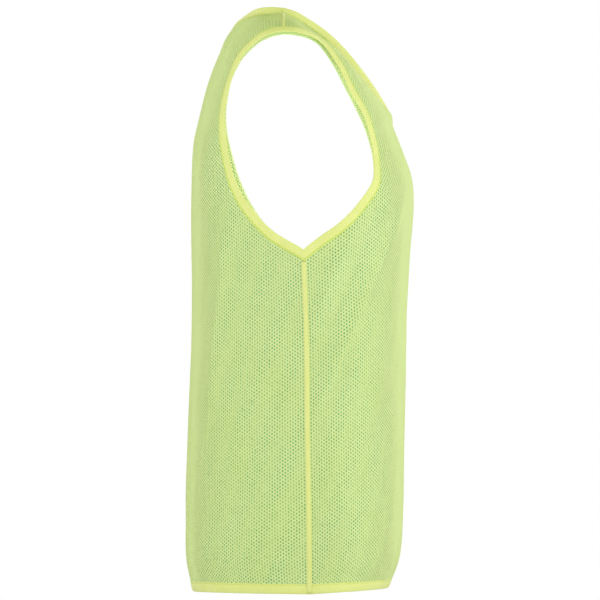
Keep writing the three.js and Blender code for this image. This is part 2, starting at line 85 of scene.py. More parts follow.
# Corners of neighbouring cells are one point where they agree to a twentieth of a millimetre
KEYS_PER_MM = 20
KEY_STRIDE = 1_000_000

# How finely the form is measured to lay the cloth flat
REFERENCE_HEIGHT = 300
GIRTH_SAMPLES = 401
FLAT_COLUMNS = 101
FLAT_ROWS = 253
FLAT_STEP = 4.0
NODE_MARGIN = 1.001

# How far the net's rows rise towards the middle of the front, and sink towards the middle of the back,
# with the share of that at the hem and the height above which it is whole
ROW_RISE = 18
HEM_RISE_SHARE = 0.35
WHOLE_RISE_HEIGHT = 350

# How far under a binding the cloth goes, as a share of the binding's width, and where it starts
# under the hem
HIDDEN_SHARE = 0.36
CLOTH_START = HEM_WIDTH / 3

# Inner ply, as levels below the outer ply's face
INNER_PLY_FACE = -0.95
INNER_PLY_BACK = -1.5
PLY_COLUMNS = 64
PLY_ROW_STEP = 5

# Rows added above the armpit and above the start of the neck, and how they crowd towards them
ARMPIT_ROWS = (3, 1.4)
NECK_ROWS = (8, 1.5)

# The ply's fitted map: each face has half of the square, with the panel's middle in its middle
FITTED_MIDDLE = 0.25
FITTED_REACH = 0.24
FITTED_HALF = 0.5

# Seam tapes: the width they are cut to, and the widths they are turned in to. The side tape is a little
# wider than its solid. It is lifted where it runs over the hem, and the shoulder's goes under the bindings.
SIDE_TAPE_WIDTH = 6.2
SHOULDER_TAPE_WIDTH = 4
SIDE_TAPE_RINGS = 121
SHOULDER_TAPE_RINGS = 41
TAPE_HEM_SHARE = 0.1
TAPE_HEM_LIFT = 0.7
TAPE_HEM_BLEND = (2, 3)
TAPE_TOP_GAP = 0.6
TAPE_TUCK_TURN = 0.003
TAPE_TURN_STEP = 0.01

# Waves in the side tape's thickness: share, rate and start
TAPE_WAVES = ((0.06, 0.31, 0), (0.05, 0.13, 1))

# Rings of a binding: every so many samples of its edge, or all round half the hem
STATION_STEP = 2
HEM_STATIONS = 161
HEM_END_SHARE = 0.999

# How much a binding puffs up and down along its length, and how fast
PUCKER = 0.12
PUCKER_RATES = (0.71, 1.33, 5)

# Stitches, with their rings: place as a share of the length, and radius as a share of the whole
STITCH_LENGTH = 2.5
STITCH_SPACING = 3.3
STITCH_RADIUS = 0.27
STITCH_CORNERS = 6
STITCH_RINGS = ((-0.5, 0.25), (-0.3, 0.9), (0, 1), (0.3, 0.9), (0.5, 0.25))

# Sections: height, centre y, centre z, side y, side z, half width, square
FRONT_SECTIONS = (
    (0, -128.5, -692.5, -32.5, -698.4, 200, 2.8),
    (42, -142.5, -655, -32.2, -657, 204, 2.8),
    (100, -146.8, -600, -31.5, -600, 206, 2.8),
    (195, -148.2, -505, -30, -505, 205, 2.8),
    (322, -150.4, -378, -28.5, -378, 204, 2.8),
    (415, -155.5, -283, -25.2, -284, 204, 2.8),
    (470, -159.6, -228, -24.5, -240, 206, 2.75),
    (505, -157.5, -193, -24.5, -222, 208, 2.7),
    (535, -147.5, -163, -25, -205, 210, 2.6),
    (575, -134.3, -128.5, -22, -186, 214, 2.55),
    (590, -131.2, -113, -21, -178, 217, 2.5),
    (637, -101.5, -62, -18, -147, 224, 2.4),
    (690, -64.4, -16.4, -15, -111, 230, 2.3),
    (737, -21.7, 17.2, -4, -106, 230, 2.15),
    (758, -1.3, 27.6, 0, -101, 226, 2),
)
BACK_SECTIONS = (
    (0, 110, -696.6, -32.5, -698.4, 200, 2.8),
    (42, 118.2, -655, -32.2, -657, 204, 2.8),
    (100, 118.2, -598, -31.5, -600, 206, 2.8),
    (195, 116.3, -505, -30, -505, 205, 2.8),
    (322, 111.8, -378, -28.5, -378, 204, 2.8),
    (415, 111.1, -284, -25.2, -284, 204, 2.8),
    (490, 111.1, -208, -24.5, -226, 206, 2.75),
    (548, 109.2, -152, -24, -190, 210, 2.6),
    (582, 102.6, -120, -20, -170, 212, 2.5),
    (630, 91, -75, -14, -145, 218, 2.4),
    (672, 76.9, -38.5, -9, -127, 223, 2.3),
    (697, 66.4, -16.5, -7, -120, 224, 2.2),
    (727, 36.6, 18.6, -4, -113, 225, 2.1),
    (743, 17, 26.6, -2, -107, 225.5, 2.05),
    (758, -1.3, 27.6, 0, -101, 226, 2),
)

# The neck's edge stands up: how far the cloth drops just beside it, by height
FRONT_NECK_RIM = ((588, 0), (612, 6), (640, 9.3), (700, 10.5), (735, 8), (758, 4))
BACK_NECK_RIM = ((711, 0), (722, 4.5), (738, 7.5), (758, 4))

# Edge of each armhole as seen from the side (y, z), from the armpit up to the shoulder
FRONT_ARMHOLE_RIGHT = (
    (-25, -279.5), (-45, -264), (-67.2, -248.5), (-90.4, -225), (-107, -197), (-110.5, -170),
    (-108, -146), (-100, -116), (-84, -83), (-69, -52.5), (-46, -24.5), (-14, -15.2), (-0.6, -14.5),
)
FRONT_ARMHOLE_LEFT = (
    (-25, -279.5), (-45, -266), (-67.2, -250.5), (-91, -227), (-108.5, -197), (-111, -170),
    (-106, -144), (-95.5, -116), (-81, -83), (-64, -50), (-41, -23.5), (-14, -15.4), (-0.6, -14.5),
)
BACK_ARMHOLE_RIGHT = (
    (-25, -279.5), (13.4, -256.5), (38, -230.5), (60, -189), (69, -138),
    (68.5, -103), (63, -74), (51, -46), (28, -24), (12.5, -16.6), (-0.6, -14.5),
)
BACK_ARMHOLE_LEFT = (
    (-25, -279.5), (13.4, -257.5), (35.2, -230.5), (54.7, -189), (67.5, -138),
    (68.5, -103), (63, -74), (51, -46), (28, -24), (12.5, -17), (-0.6, -14.5),
)

# Broad folds, the same on both halves: height, turn, length, width, depth, lean
FRONT_FOLDS = (
    (640, 0.5, 62, 0.09, -3.5, -0.04),
    (500, 0.58, 50, 0.1, 3, 0.1),
    (330, 0.72, 95, 0.12, 2.6, 0.14),
    (210, 0.5, 90, 0.13, -2.6, -0.12),
    (80, 0.74, 60, 0.1, 2.4, 0.06),
)
BACK_FOLDS = (
    (560, 0.42, 70, 0.12, 3, 0.08),
    (420, 0.7, 85, 0.11, -2.8, 0.16),
    (300, 0.48, 100, 0.12, 2.8, 0.12),
    (150, 0.72, 90, 0.12, -2.4, 0.1),
)

# Creases, each on one half: the same columns, and turn is negative on the wearer's right
FRONT_CREASES = (
    (690, -0.42, 46, 0.035, -1.6, 0.05),
    (655, -0.36, 52, 0.03, 1.3, 0.06),
    (600, -0.55, 40, 0.035, -1.4, 0.1),
    (545, -0.7, 46, 0.04, 1.2, -0.12),
    (470, -0.82, 44, 0.035, -1.5, 0.1),
    (378, -0.85, 52, 0.034, 4.2, 0.105),
    (372, -0.755, 60, 0.045, -3.2, 0.13),
    (351, -0.66, 95, 0.036, 5.0, 0.21),
    (350, -0.5, 70, 0.045, -1.2, 0.1),
    (265, -0.8, 66, 0.04, -1.3, 0.12),
    (205, -0.62, 78, 0.05, 1.4, 0.16),
    (130, -0.86, 52, 0.035, 1.1, 0.06),
    (95, -0.5, 60, 0.045, -1.3, 0.1),
    (30, -0.72, 26, 0.05, -1.8, 0.02),
    (28, -0.36, 24, 0.045, 1.5, 0.02),
    (700, 0.4, 40, 0.035, -1.4, -0.06),
    (610, 0.5, 52, 0.04, 1.5, -0.08),
    (520, 0.74, 44, 0.035, -1.5, 0.12),
    (440, 0.6, 70, 0.05, 1.3, -0.12),
    (340, 0.82, 62, 0.04, -1.4, -0.1),
    (250, 0.56, 80, 0.05, 1.3, -0.16),
    (150, 0.78, 56, 0.04, -1.5, -0.08),
    (70, 0.46, 50, 0.045, 1.4, -0.05),
    (470, 0.08, 60, 0.05, -1.2, 0.06),
    (300, -0.14, 90, 0.06, 1.2, -0.1),
    (160, 0.16, 70, 0.05, -1.4, 0.12),
)
BACK_CREASES = (
    (690, -0.5, 34, 0.035, -1.5, -0.05),
    (620, -0.6, 50, 0.04, 1.3, 0.1),
    (545, -0.82, 44, 0.035, -1.4, -0.1),
    (480, -0.66, 66, 0.045, 1.2, -0.12),
    (420, -0.86, 50, 0.035, -1.4, -0.06),
    (350, -0.52, 100, 0.04, 3.6, -0.045),
    (280, -0.78, 66, 0.04, 1.3, -0.14),
    (215, -0.46, 72, 0.05, 1.2, -0.1),
    (160, -0.7, 60, 0.04, -1.4, -0.12),
    (90, -0.84, 46, 0.035, 1.2, -0.05),
    (60, -0.5, 44, 0.045, -1.4, -0.06),
    (26, -0.74, 24, 0.05, 1.6, -0.02),
    (650, 0.46, 50, 0.04, 1.4, 0.08),
    (560, 0.7, 46, 0.035, -1.4, -0.1),
    (460, 0.5, 74, 0.05, 1.4, 0.14),
    (370, 0.8, 56, 0.04, -1.3, 0.1),
    (260, 0.62, 84, 0.05, -1.4, 0.16),
    (170, 0.84, 50, 0.035, 1.3, 0.06),
    (90, 0.56, 58, 0.045, -1.5, 0.1),
    (30, 0.36, 26, 0.05, 1.5, 0.02),
    (600, -0.12, 60, 0.06, -1.6, 0.06),
    (430, 0.1, 84, 0.06, 1.3, -0.1),
    (240, -0.1, 90, 0.06, -1.3, 0.12),
    (110, 0.12, 56, 0.05, 1.4, -0.06),
)


def smooth(table, heights):
    """Smooth curves through every column of a table whose first column is the height"""
    rows = table[:, 0]
    values = table[:, 1:]
    before = np.maximum(np.arange(len(rows)) - 1, 0)
    after = np.minimum(np.arange(len(rows)) + 1, len(rows) - 1)
    slopes = (values[after] - values[before]) / (rows[after] - rows[before])[:, None]
    at = np.searchsorted(rows[1:-1], heights, side="left")
    span = (rows[at + 1] - rows[at])[..., None]
    t = (np.asarray(heights)[..., None] - rows[at][..., None]) / span
    rise = values[at + 1] - values[at]
    start_slope = slopes[at] * span
    bend = start_slope + slopes[at + 1] * span - 2 * rise
    return values[at] + t * (start_slope + t * (rise - start_slope - bend + t * bend))


class Panel:
    """One panel's form: its sections, folds and edges"""

    def __init__(self, facing, sections, folds, creases, neck_height, neck_rim, armholes):
        self.facing = facing
        self.sections = np.array(sections, float)
        self.folds = folds
        self.creases = creases
        self.neck_height = neck_height
        self.neck_rim = np.array(neck_rim, float)
        self.armholes = armholes

    def section(self, height):
        return smooth(self.sections, height)

    def neck_half_width(self, height):
        rise = np.clip((height - self.neck_height) / (SHOULDER_HEIGHT - self.neck_height), 0, 1)
        return NECK_HALF_WIDTH * np.sqrt(1 - (1 - rise) ** 2)

    def rim_drop(self, height, width):
        """How far the cloth drops below the plain section beside the neck's standing edge"""
        beside = np.maximum(np.abs(width) - self.neck_half_width(height), -NECK_RIM_CURVE)
        fade = 1 - smoothstep(beside / NECK_RIM_REACH)
        deepest = smooth(self.neck_rim, height)[..., 0] * (height > self.neck_height)
        return deepest * (1 - np.exp(-beside / NECK_RIM_CURVE)) * fade

    def form_point(self, height, turn):
        """Point of the plain form"""
        values = self.section(height)
        square = values[..., 5]
        across = np.sin(turn * QUARTER_TURN)
        along = np.cos(turn * QUARTER_TURN)
        reach = (np.abs(across) ** square + np.abs(along) ** square) ** (-1 / square)
        width = values[..., 4] * across * reach
        side = values[..., 2:4]
        outward = values[..., 0:2] - side
        length = np.linalg.norm(outward, axis=-1)
        distance = along * reach * length - self.rim_drop(height, width)
        place = side + outward * (distance / length)[..., None]
        return np.concatenate([width[..., None], place], axis=-1)

    def form_normal(self, height, turn):
        """Outward normal of the plain form"""
        above = np.minimum(height + HEIGHT_STEP, SHOULDER_HEIGHT)
        up = self.form_point(above, turn) - self.form_point(height - HEIGHT_STEP, turn)
        around = self.form_point(height, turn + TURN_STEP) - self.form_point(height, turn - TURN_STEP)
        return unit(np.cross(up, around)) * self.facing

    def depth(self, height, turn):
        """How far folds and creases lift the cloth"""
        total = np.zeros(np.broadcast(height, turn).shape)
        either = np.abs(turn)
        room = np.minimum(1 - either, (SHOULDER_HEIGHT - height) / SHOULDER_FADE)
        fold_fade = smoothstep(np.minimum(either, room) / TURN_FADE)
        crease_fade = smoothstep(room / CREASE_FADE)
        waves = [(row, either, fold_fade) for row in self.folds]
        waves += [(row, turn, crease_fade) for row in self.creases]
        for (middle, side, length, width, lift, lean), place, fade in waves:
            up = (height - middle) / length
            across = (place - side - lean * up) / width
            total += lift * np.exp(-up * up - across * across) * fade
        return total

    def cloth_point(self, height, turn):
        lift = self.depth(height, turn)[..., None]
        return self.form_point(height, turn) + self.form_normal(height, turn) * lift

    def normal(self, height, turn):
        """Outward normal, shared with the other panel at the shoulders and side seams"""
        other = BACK if self is FRONT else FRONT
        near_side = smoothstep((np.abs(turn) - 1 + SEAM_BLEND_TURN) / SEAM_BLEND_TURN)
        near_top = smoothstep((height - SHOULDER_HEIGHT + SEAM_BLEND_HEIGHT) / SEAM_BLEND_HEIGHT)
        share = np.maximum(near_side, near_top)[..., None]
        return unit(self.form_normal(height, turn) + share * other.form_normal(height, turn))

    def raised(self, height, turn, level):
        """Point of the cloth moved outward by a level"""
        return self.cloth_point(height, turn) + self.normal(height, turn) * np.asarray(level)[..., None]


def unit(vectors):
    return vectors / np.linalg.norm(vectors, axis=-1, keepdims=True)


def smoothstep(value):
    value = np.clip(value, 0, 1)
    return value * value * (3 - 2 * value)


def distances(points):
    """Distances along a line of points, from its start"""
    steps = np.linalg.norm(np.diff(points, axis=0), axis=1)
    return np.concatenate([[0], np.cumsum(steps)])


FRONT = Panel(
    -1, FRONT_SECTIONS, FRONT_FOLDS, FRONT_CREASES, FRONT_NECK_HEIGHT, FRONT_NECK_RIM,
    {"right": FRONT_ARMHOLE_RIGHT, "left": FRONT_ARMHOLE_LEFT},
)
BACK = Panel(
    1, BACK_SECTIONS, BACK_FOLDS, BACK_CREASES, BACK_NECK_HEIGHT, BACK_NECK_RIM,
    {"right": BACK_ARMHOLE_RIGHT, "left": BACK_ARMHOLE_LEFT},
)
PANELS = {"front": FRONT, "back": BACK}
SIDES = {"right": -1, "left": 1}


def curve_through(points, samples):
    """Centripetal curve through points, evenly sampled between each two"""
    points = np.array(points, float)
    points = np.vstack([2 * points[0] - points[1], points, 2 * points[-1] - points[-2]])
    spans = np.sqrt(np.linalg.norm(np.diff(points, axis=0), axis=1))
    place = np.linspace(0, len(points) - 3, samples + 1)
    at = np.minimum(place.astype(int), len(points) - 4)
    t = (place - at)[:, None]
    first, start, end, last = points[at], points[at + 1], points[at + 2], points[at + 3]
    span0, span1, span2 = spans[at][:, None], spans[at + 1][:, None], spans[at + 2][:, None]
    middle = (end - start) / span1
    leave = ((start - first) / span0 - (end - first) / (span0 + span1) + middle) * span1
    arrive = (middle - (last - start) / (span1 + span2) + (last - end) / span2) * span1
    rise = end - start
    return start + t * (leave + t * (3 * rise - 2 * leave - arrive + t * (leave + arrive - 2 * rise)))


def place_in_side_view(panel, seen, start_height):
    """Height and turn of the point that the side view shows, looked for upwards from a height"""

    def left_of(height):
        values = panel.section(np.float64(height))
        reach, offset = values[0:2] - values[2:4], seen - values[2:4]
        return reach[0] * offset[1] - reach[1] * offset[0]

    low, high = start_height, start_height + SEARCH_STEP
    while left_of(low) * left_of(high) > 0 and high < SHOULDER_HEIGHT:
        low, high = high, high + SEARCH_STEP
    top_sign = left_of(high)
    for _ in range(SEARCH_HALVINGS):
        middle = (low + high) / 2
        if left_of(middle) * top_sign > 0:
            high = middle
        else:
            low = middle
    height = (low + high) / 2
    values = panel.section(np.float64(height))
    square = values[5]
    along = min(np.linalg.norm(seen - values[2:4]) / np.linalg.norm(values[0:2] - values[2:4]), 1)
    across = (1 - along**square) ** (1 / square)
    return height, math.atan2(across, along) / QUARTER_TURN


def armhole_places(panel, side):
    """Heights and turns of the armhole's edge, from the armpit up to the shoulder"""
    outline = curve_through(panel.armholes[side], EDGE_SAMPLES)
    places = [(ARMPIT_HEIGHT, 1.0)]
    for seen in outline[1:]:
        places.append(place_in_side_view(panel, seen, places[-1][0] - SEARCH_STEP))
    places[-1] = (SHOULDER_HEIGHT, SHOULDER_ARM_TURN)
    heights, turns = np.array(places).T
    return heights, turns * SIDES[side]


def neck_places(panel, side):
    """Heights and turns of the neck's edge, from the middle up to the shoulder"""
    rise = np.linspace(0, 1, EDGE_SAMPLES + 1) ** 2
    heights = panel.neck_height + (SHOULDER_HEIGHT - panel.neck_height) * rise
    values = panel.section(heights)
    square = values[:, 5]
    across = panel.neck_half_width(heights) / values[:, 4]
    along = (1 - across**square) ** (1 / square)
    return heights, np.arctan2(across, along) / QUARTER_TURN * SIDES[side]


def walk(panel, heights, turns, direction, distance):
    """Places moved straight over the form by a distance, starting in directions of space"""
    for _ in range(WALK_STEPS):
        here = panel.form_point(heights, turns)
        up = (here - panel.form_point(heights - HEIGHT_STEP, turns)) / HEIGHT_STEP
        around = (panel.form_point(heights, turns + TURN_STEP) - here) / TURN_STEP
        up_around = (up * around).sum(1)
        toward_up, toward_around = (up * direction).sum(1), (around * direction).sum(1)
        rise = (around * around).sum(1) * toward_up - up_around * toward_around
        swing = (up * up).sum(1) * toward_around - up_around * toward_up
        direction = up * rise[:, None] + around * swing[:, None]
        reach = np.linalg.norm(direction, axis=1)
        heights = heights + rise * distance / WALK_STEPS / reach
        turns = turns + swing * distance / WALK_STEPS / reach
        direction = unit(direction)
    return np.minimum(heights, SHOULDER_HEIGHT), turns


def edging(panel, places, away, corner_stretch):
    """Open and bound edges of a binding along one edge of a panel, as heights and turns.
    away is 1 where the cloth lies further from the middle than the edge does, or else -1."""
    heights, turns = places
    points = panel.form_point(heights, turns)
    direction = unit(np.cross(panel.normal(heights, turns), np.gradient(points, axis=0)))
    outward = np.sign(direction[EDGE_SAMPLES // 2, 0] * turns[EDGE_SAMPLES // 2])
    bound_heights, bound_turns = walk(panel, heights, turns, direction * outward * away, BINDING_WIDTH)
    first, last = slice(0, 1), slice(EDGE_SAMPLES, None)
    down = panel.form_point(heights[first] - HEIGHT_STEP, turns[first]) - points[first]
    bound_heights[first] = walk(panel, heights[first], turns[first], down, BINDING_WIDTH * corner_stretch)[0]
    bound_turns[0] = turns[0]
    side = away * np.sign(turns[-1])
    across = (FRONT.form_point(heights[last], turns[last] + TURN_STEP) - points[last]) * side
    bound_turns[last] = walk(FRONT, heights[last], turns[last], across, BINDING_WIDTH)[1]
    bound_heights[-1] = SHOULDER_HEIGHT
    return {"open": (heights, turns), "bound": (bound_heights, bound_turns)}


NECK = {
    (panel, side): edging(PANELS[panel], neck_places(PANELS[panel], side), 1, 1)
    for panel in PANELS
    for side in SIDES
}
ARMHOLE = {
    (panel, side): edging(PANELS[panel], armhole_places(PANELS[panel], side), -1, ARMPIT_CORNER_STRETCH)
    for panel in PANELS
    for side in SIDES
}


def hidden_line(edge):
    """Line under a binding where the cloth is cut, as heights and positive turns"""
    heights = edge["bound"][0] + (edge["open"][0] - edge["bound"][0]) * HIDDEN_SHARE
    turns = edge["bound"][1] + (edge["open"][1] - edge["bound"][1]) * HIDDEN_SHARE
    return heights, np.abs(turns)


def cloth_limits(panel_name, side, heights):
    """Least and greatest turn of the cut cloth at these heights"""
    neck_heights, neck_turns = hidden_line(NECK[panel_name, side])
    arm_heights, arm_turns = hidden_line(ARMHOLE[panel_name, side])
    inner = np.where(heights < neck_heights[0], 0, np.interp(heights, neck_heights, neck_turns))
    outer = np.where(heights < arm_heights[0], 1, np.interp(heights, arm_heights, arm_turns))
    return inner, outer


def new_object(name, points, faces, maps=None, materials=(), material_index=None):
    """Smooth-shaded object from points in millimetres, faces with equal corner counts and maps by name"""
    mesh = bpy.data.meshes.new(name)
    faces = np.asarray(faces, np.int32)
    corners = faces.shape[1]
    mesh.vertices.add(len(points))
    mesh.vertices.foreach_set("co", (np.asarray(points) * MM).astype(np.float32).ravel())
    mesh.loops.add(faces.size)
    mesh.loops.foreach_set("vertex_index", faces.ravel())
    mesh.polygons.add(len(faces))
    mesh.polygons.foreach_set("loop_start", np.arange(0, faces.size, corners, dtype=np.int32))
    mesh.polygons.foreach_set("use_smooth", np.ones(len(faces), bool))
    for map_name, values in (maps or {}).items():
        layer = mesh.uv_layers.new(name=map_name)
        layer.data.foreach_set("uv", np.asarray(values, np.float32)[faces.ravel()].ravel())
    for material in materials:
        mesh.materials.append(material)
    if material_index is not None:
        mesh.polygons.foreach_set("material_index", np.asarray(material_index, np.int32))
    mesh.update(calc_edges=True)
    mesh.validate()
    piece = bpy.data.objects.new(name, mesh)
    bpy.context.collection.objects.link(piece)
    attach(piece, "root")
    return piece


def between_nodes(grid, column, row):
    """Values of a grid at fractional columns and rows"""
    column = np.clip(column, 0, grid.shape[0] - NODE_MARGIN)
    row = np.clip(row, 0, grid.shape[1] - NODE_MARGIN)
    left, low = column.astype(int), row.astype(int)
    right_share, high_share = column - left, row - low
    lower = grid[left, low] * (1 - right_share) + grid[left + 1, low] * right_share
    upper = grid[left, low + 1] * (1 - right_share) + grid[left + 1, low + 1] * right_share
    return lower * (1 - high_share) + upper * high_share


class FlatCloth:
    """Half a panel's cloth laid flat, in millimetres across from the middle and up from the hem"""

    def __init__(self, panel):
        self.row_rise = -panel.facing * ROW_RISE
        self.turns = np.linspace(0, 1, GIRTH_SAMPLES)
        reference = panel.form_point(np.full(GIRTH_SAMPLES, float(REFERENCE_HEIGHT)), self.turns)
        self.across = distances(reference)
        heights = np.linspace(0, SHOULDER_HEIGHT, FLAT_ROWS)
        column_turns = np.linspace(0, 1, FLAT_COLUMNS)
        grid = panel.form_point(*np.meshgrid(heights, column_turns))
        up = np.cumsum(np.linalg.norm(np.diff(grid, axis=1), axis=2), axis=1)
        self.up = np.concatenate([np.zeros((FLAT_COLUMNS, 1)), up], axis=1)
        self.girth = self.across[-1]
        self.length = self.up.max()
        levels = np.arange(0, self.length + 2 * FLAT_STEP, FLAT_STEP)
        self.heights = np.array([np.interp(levels, row, heights) for row in self.up])

    def rise(self, across, up):
        """How far a row of the net lies above its place at the side seam"""
        whole = smoothstep(up / WHOLE_RISE_HEIGHT)
        share = HEM_RISE_SHARE + (1 - HEM_RISE_SHARE) * whole
        return self.row_rise * share * np.cos(across / self.girth * QUARTER_TURN)

    def on_form(self, across, up):
        """Heights and turns of places in the flat cloth"""
        turn = np.interp(np.abs(across), self.across, self.turns)
        lifted = np.maximum(up + self.rise(across, up), 0)
        heights = between_nodes(self.heights, turn * (FLAT_COLUMNS - 1), lifted / FLAT_STEP)
        return heights, turn * np.sign(across)

    def laid_flat(self, heights, turns):
        """Places in the flat cloth of heights and positive turns"""
        rows = heights / SHOULDER_HEIGHT * (FLAT_ROWS - 1)
        lifted = between_nodes(self.up, turns * (FLAT_COLUMNS - 1), rows)
        across = np.interp(turns, self.turns, self.across)
        return across, lifted - self.rise(across, lifted)


FLAT_CLOTH = {panel_name: FlatCloth(panel) for panel_name, panel in PANELS.items()}


def net_cells(cloth, panel_name, side):
    """Centres of the cells that half a panel's net keeps, across and up, and its column spacing"""
    columns = round(cloth.girth / COLUMN_SPACING)
    spacing = cloth.girth / columns
    rows = int((cloth.length + ROW_RISE) / ROW_SPACING) + 1
    column, row = np.meshgrid(np.arange(columns), np.arange(rows), indexing="ij")
    column, row = column.ravel(), row.ravel()
    across = (column + 0.5) * spacing
    odd = (column + (side == "right")) % 2
    up = (row + 0.5 * odd) * ROW_SPACING
    heights, turns = cloth.on_form(across, up)
    inner, outer = cloth_limits(panel_name, side, heights)
    kept = (turns >= inner) & (turns <= outer)
    kept &= (heights > CLOTH_START) & (heights < SHOULDER_HEIGHT - NET_TOP_GAP)
    return across[kept], up[kept], spacing


def net_sheet(panel_name, side, material):
    """Outer ply of half a panel: a net of yarn with a hole in each cell of its lattice"""
    panel, cloth, sign = PANELS[panel_name], FLAT_CLOTH[panel_name], SIDES[side]
    centre_across, centre_up, spacing = net_cells(cloth, panel_name, side)
    count = len(centre_across)
    half_top = spacing / 2 - ROW_SPACING**2 / (8 * spacing)
    half_side = spacing / 2 + ROW_SPACING**2 / (8 * spacing)
    cell_across = np.array([half_side, half_top, -half_top, -half_side, -half_top, half_top])
    corner_up = np.array([0, 1, 1, 0, -1, -1])
    hole_across = np.array([1, HOLE_TOP_SHARE, -HOLE_TOP_SHARE, -1, -HOLE_TOP_SHARE, HOLE_TOP_SHARE])
    chance = np.random.default_rng(len(panel_name) * 10 + len(side))
    size = 1 + HOLE_UNEVENNESS * chance.standard_normal((count, 1))
    shift_across = HOLE_SHIFT * chance.standard_normal((count, 1))
    shift_up = HOLE_SHIFT * chance.standard_normal((count, 1))

    cells_across = (centre_across[:, None] + cell_across).ravel()
    cells_up = (centre_up[:, None] + corner_up * ROW_SPACING / 2).ravel()
    keys = np.round(cells_across * KEYS_PER_MM).astype(np.int64) * KEY_STRIDE
    keys += np.round(cells_up * KEYS_PER_MM).astype(np.int64)
    _, first, shared = np.unique(keys, return_index=True, return_inverse=True)
    holes_across = (centre_across[:, None] + shift_across + hole_across * HOLE_HALF_WIDTH * size).ravel()
    holes_up = (centre_up[:, None] + shift_up + corner_up * HOLE_HALF_HEIGHT * size).ravel()
    all_across = np.concatenate([cells_across[first], holes_across])
    all_up = np.concatenate([cells_up[first], holes_up])
    level = np.concatenate([np.zeros(len(first)), np.full(len(holes_up), -HOLE_DIP)])
    heights, turns = cloth.on_form(np.minimum(all_across, cloth.girth), all_up)
    points = panel.raised(heights, turns * sign, level)

    corners = shared.reshape(count, -1)
    holes = len(first) + np.arange(len(holes_up)).reshape(count, -1)
    after = np.roll(np.arange(corners.shape[1]), -1)
    faces = np.stack([corners, corners[:, after], holes[:, after], holes], axis=-1).reshape(-1, 4)
    if panel.facing * sign > 0:
        faces = faces[:, ::-1]
    flat = np.stack([all_across * sign, all_up], axis=1)
    fitted = np.stack([all_across / cloth.girth, all_up / cloth.length], axis=1)
    piece = new_object(
        f"{panel_name}_outer_net_{side}", points, faces,
        {"cloth": flat * CLOTH_MAP_SCALE, "OFBake": fitted}, [material],
    )
    return piece, count * spacing * ROW_SPACING


def ply_rows(panel_name):
    """Heights of the inner ply's rows, closer together where the armpit and the neck begin"""
    arm = hidden_line(ARMHOLE[panel_name, "right"])[0][0]
    neck = hidden_line(NECK[panel_name, "right"])[0][0]
    parts = [np.linspace(CLOTH_START, arm, round((arm - CLOTH_START) / PLY_ROW_STEP), endpoint=False)]
    for low, high, (more, crowding) in ((arm, neck, ARMPIT_ROWS), (neck, SHOULDER_HEIGHT, NECK_ROWS)):
        count = round((high - low) / PLY_ROW_STEP) + more
        shares = np.linspace(0, 1, count, endpoint=high == SHOULDER_HEIGHT)
        parts.append(low + (high - low) * shares**crowding)
    return np.concatenate(parts)


def ply_sheet(panel_name, face_material, back_material):
    """Inner ply of a panel: a thin closed shell with one material out and one in.
    Its halves share their points below the neck."""
    panel = PANELS[panel_name]
    rows = ply_rows(panel_name)
    share = np.linspace(0, 1, PLY_COLUMNS + 1)
    half = len(rows) * len(share)
    count = half * len(SIDES)
    outward, inward, flat, fitted, quads, rims = [], [], [], [], [], []
    shared_points = None
    for at, (side, sign) in enumerate(SIDES.items()):
        inner, outer = cloth_limits(panel_name, side, rows)
        turns = inner[:, None] + (outer - inner)[:, None] * share
        heights = np.broadcast_to(rows[:, None], turns.shape)
        for points, level in ((outward, INNER_PLY_FACE), (inward, INNER_PLY_BACK)):
            points.append(panel.raised(heights, turns * sign, np.full(turns.shape, level)))
        across, up = FLAT_CLOTH[panel_name].laid_flat(heights, turns)
        flat.append(np.stack([-across * sign * panel.facing, up], axis=-1))
        width_share = FITTED_MIDDLE + turns * sign * FITTED_REACH
        fitted.append(np.stack([width_share, heights / SHOULDER_HEIGHT], axis=-1))
        index = np.arange(half).reshape(turns.shape) + at * half
        below_neck = inner == 0
        if shared_points is None:
            shared_points = index[:, 0].copy()
        index[below_neck, 0] = shared_points[below_neck]
        split = np.flatnonzero(below_neck)[-1]
        corners = [index[:-1, :-1], index[:-1, 1:], index[1:, 1:], index[1:, :-1]]
        faces = [np.stack(corners, axis=-1).reshape(-1, 4)]
        for line in (index[0], index[:, -1], index[-1][::-1], index[split:, 0][::-1]):
            faces.append(np.stack([line[1:], line[:-1], line[:-1] + count, line[1:] + count], axis=-1))
        if panel.facing * sign > 0:
            faces = [part[:, ::-1] for part in faces]
        quads.append(faces[0])
        rims += faces[1:]
    quads, rims = np.concatenate(quads), np.concatenate(rims)
    faces = np.concatenate([quads, quads[:, ::-1] + count, rims])
    kinds = np.concatenate([np.zeros(len(quads)), np.ones(len(quads) + len(rims))])
    fitted = np.concatenate(fitted).reshape(-1, 2)
    maps = {
        "cloth": np.tile(np.concatenate(flat).reshape(-1, 2), (2, 1)) * CLOTH_MAP_SCALE,
        "OFBake": np.concatenate([fitted, fitted + (FITTED_HALF, 0)]),
    }
    points = np.concatenate(outward + inward).reshape(-1, 3)
    return new_object(f"{panel_name}_inner_ply", points, faces, maps, [face_material, back_material], kinds)


# A binding's faces below half this level are its inner side
INSIDE_LEVEL = -2.4

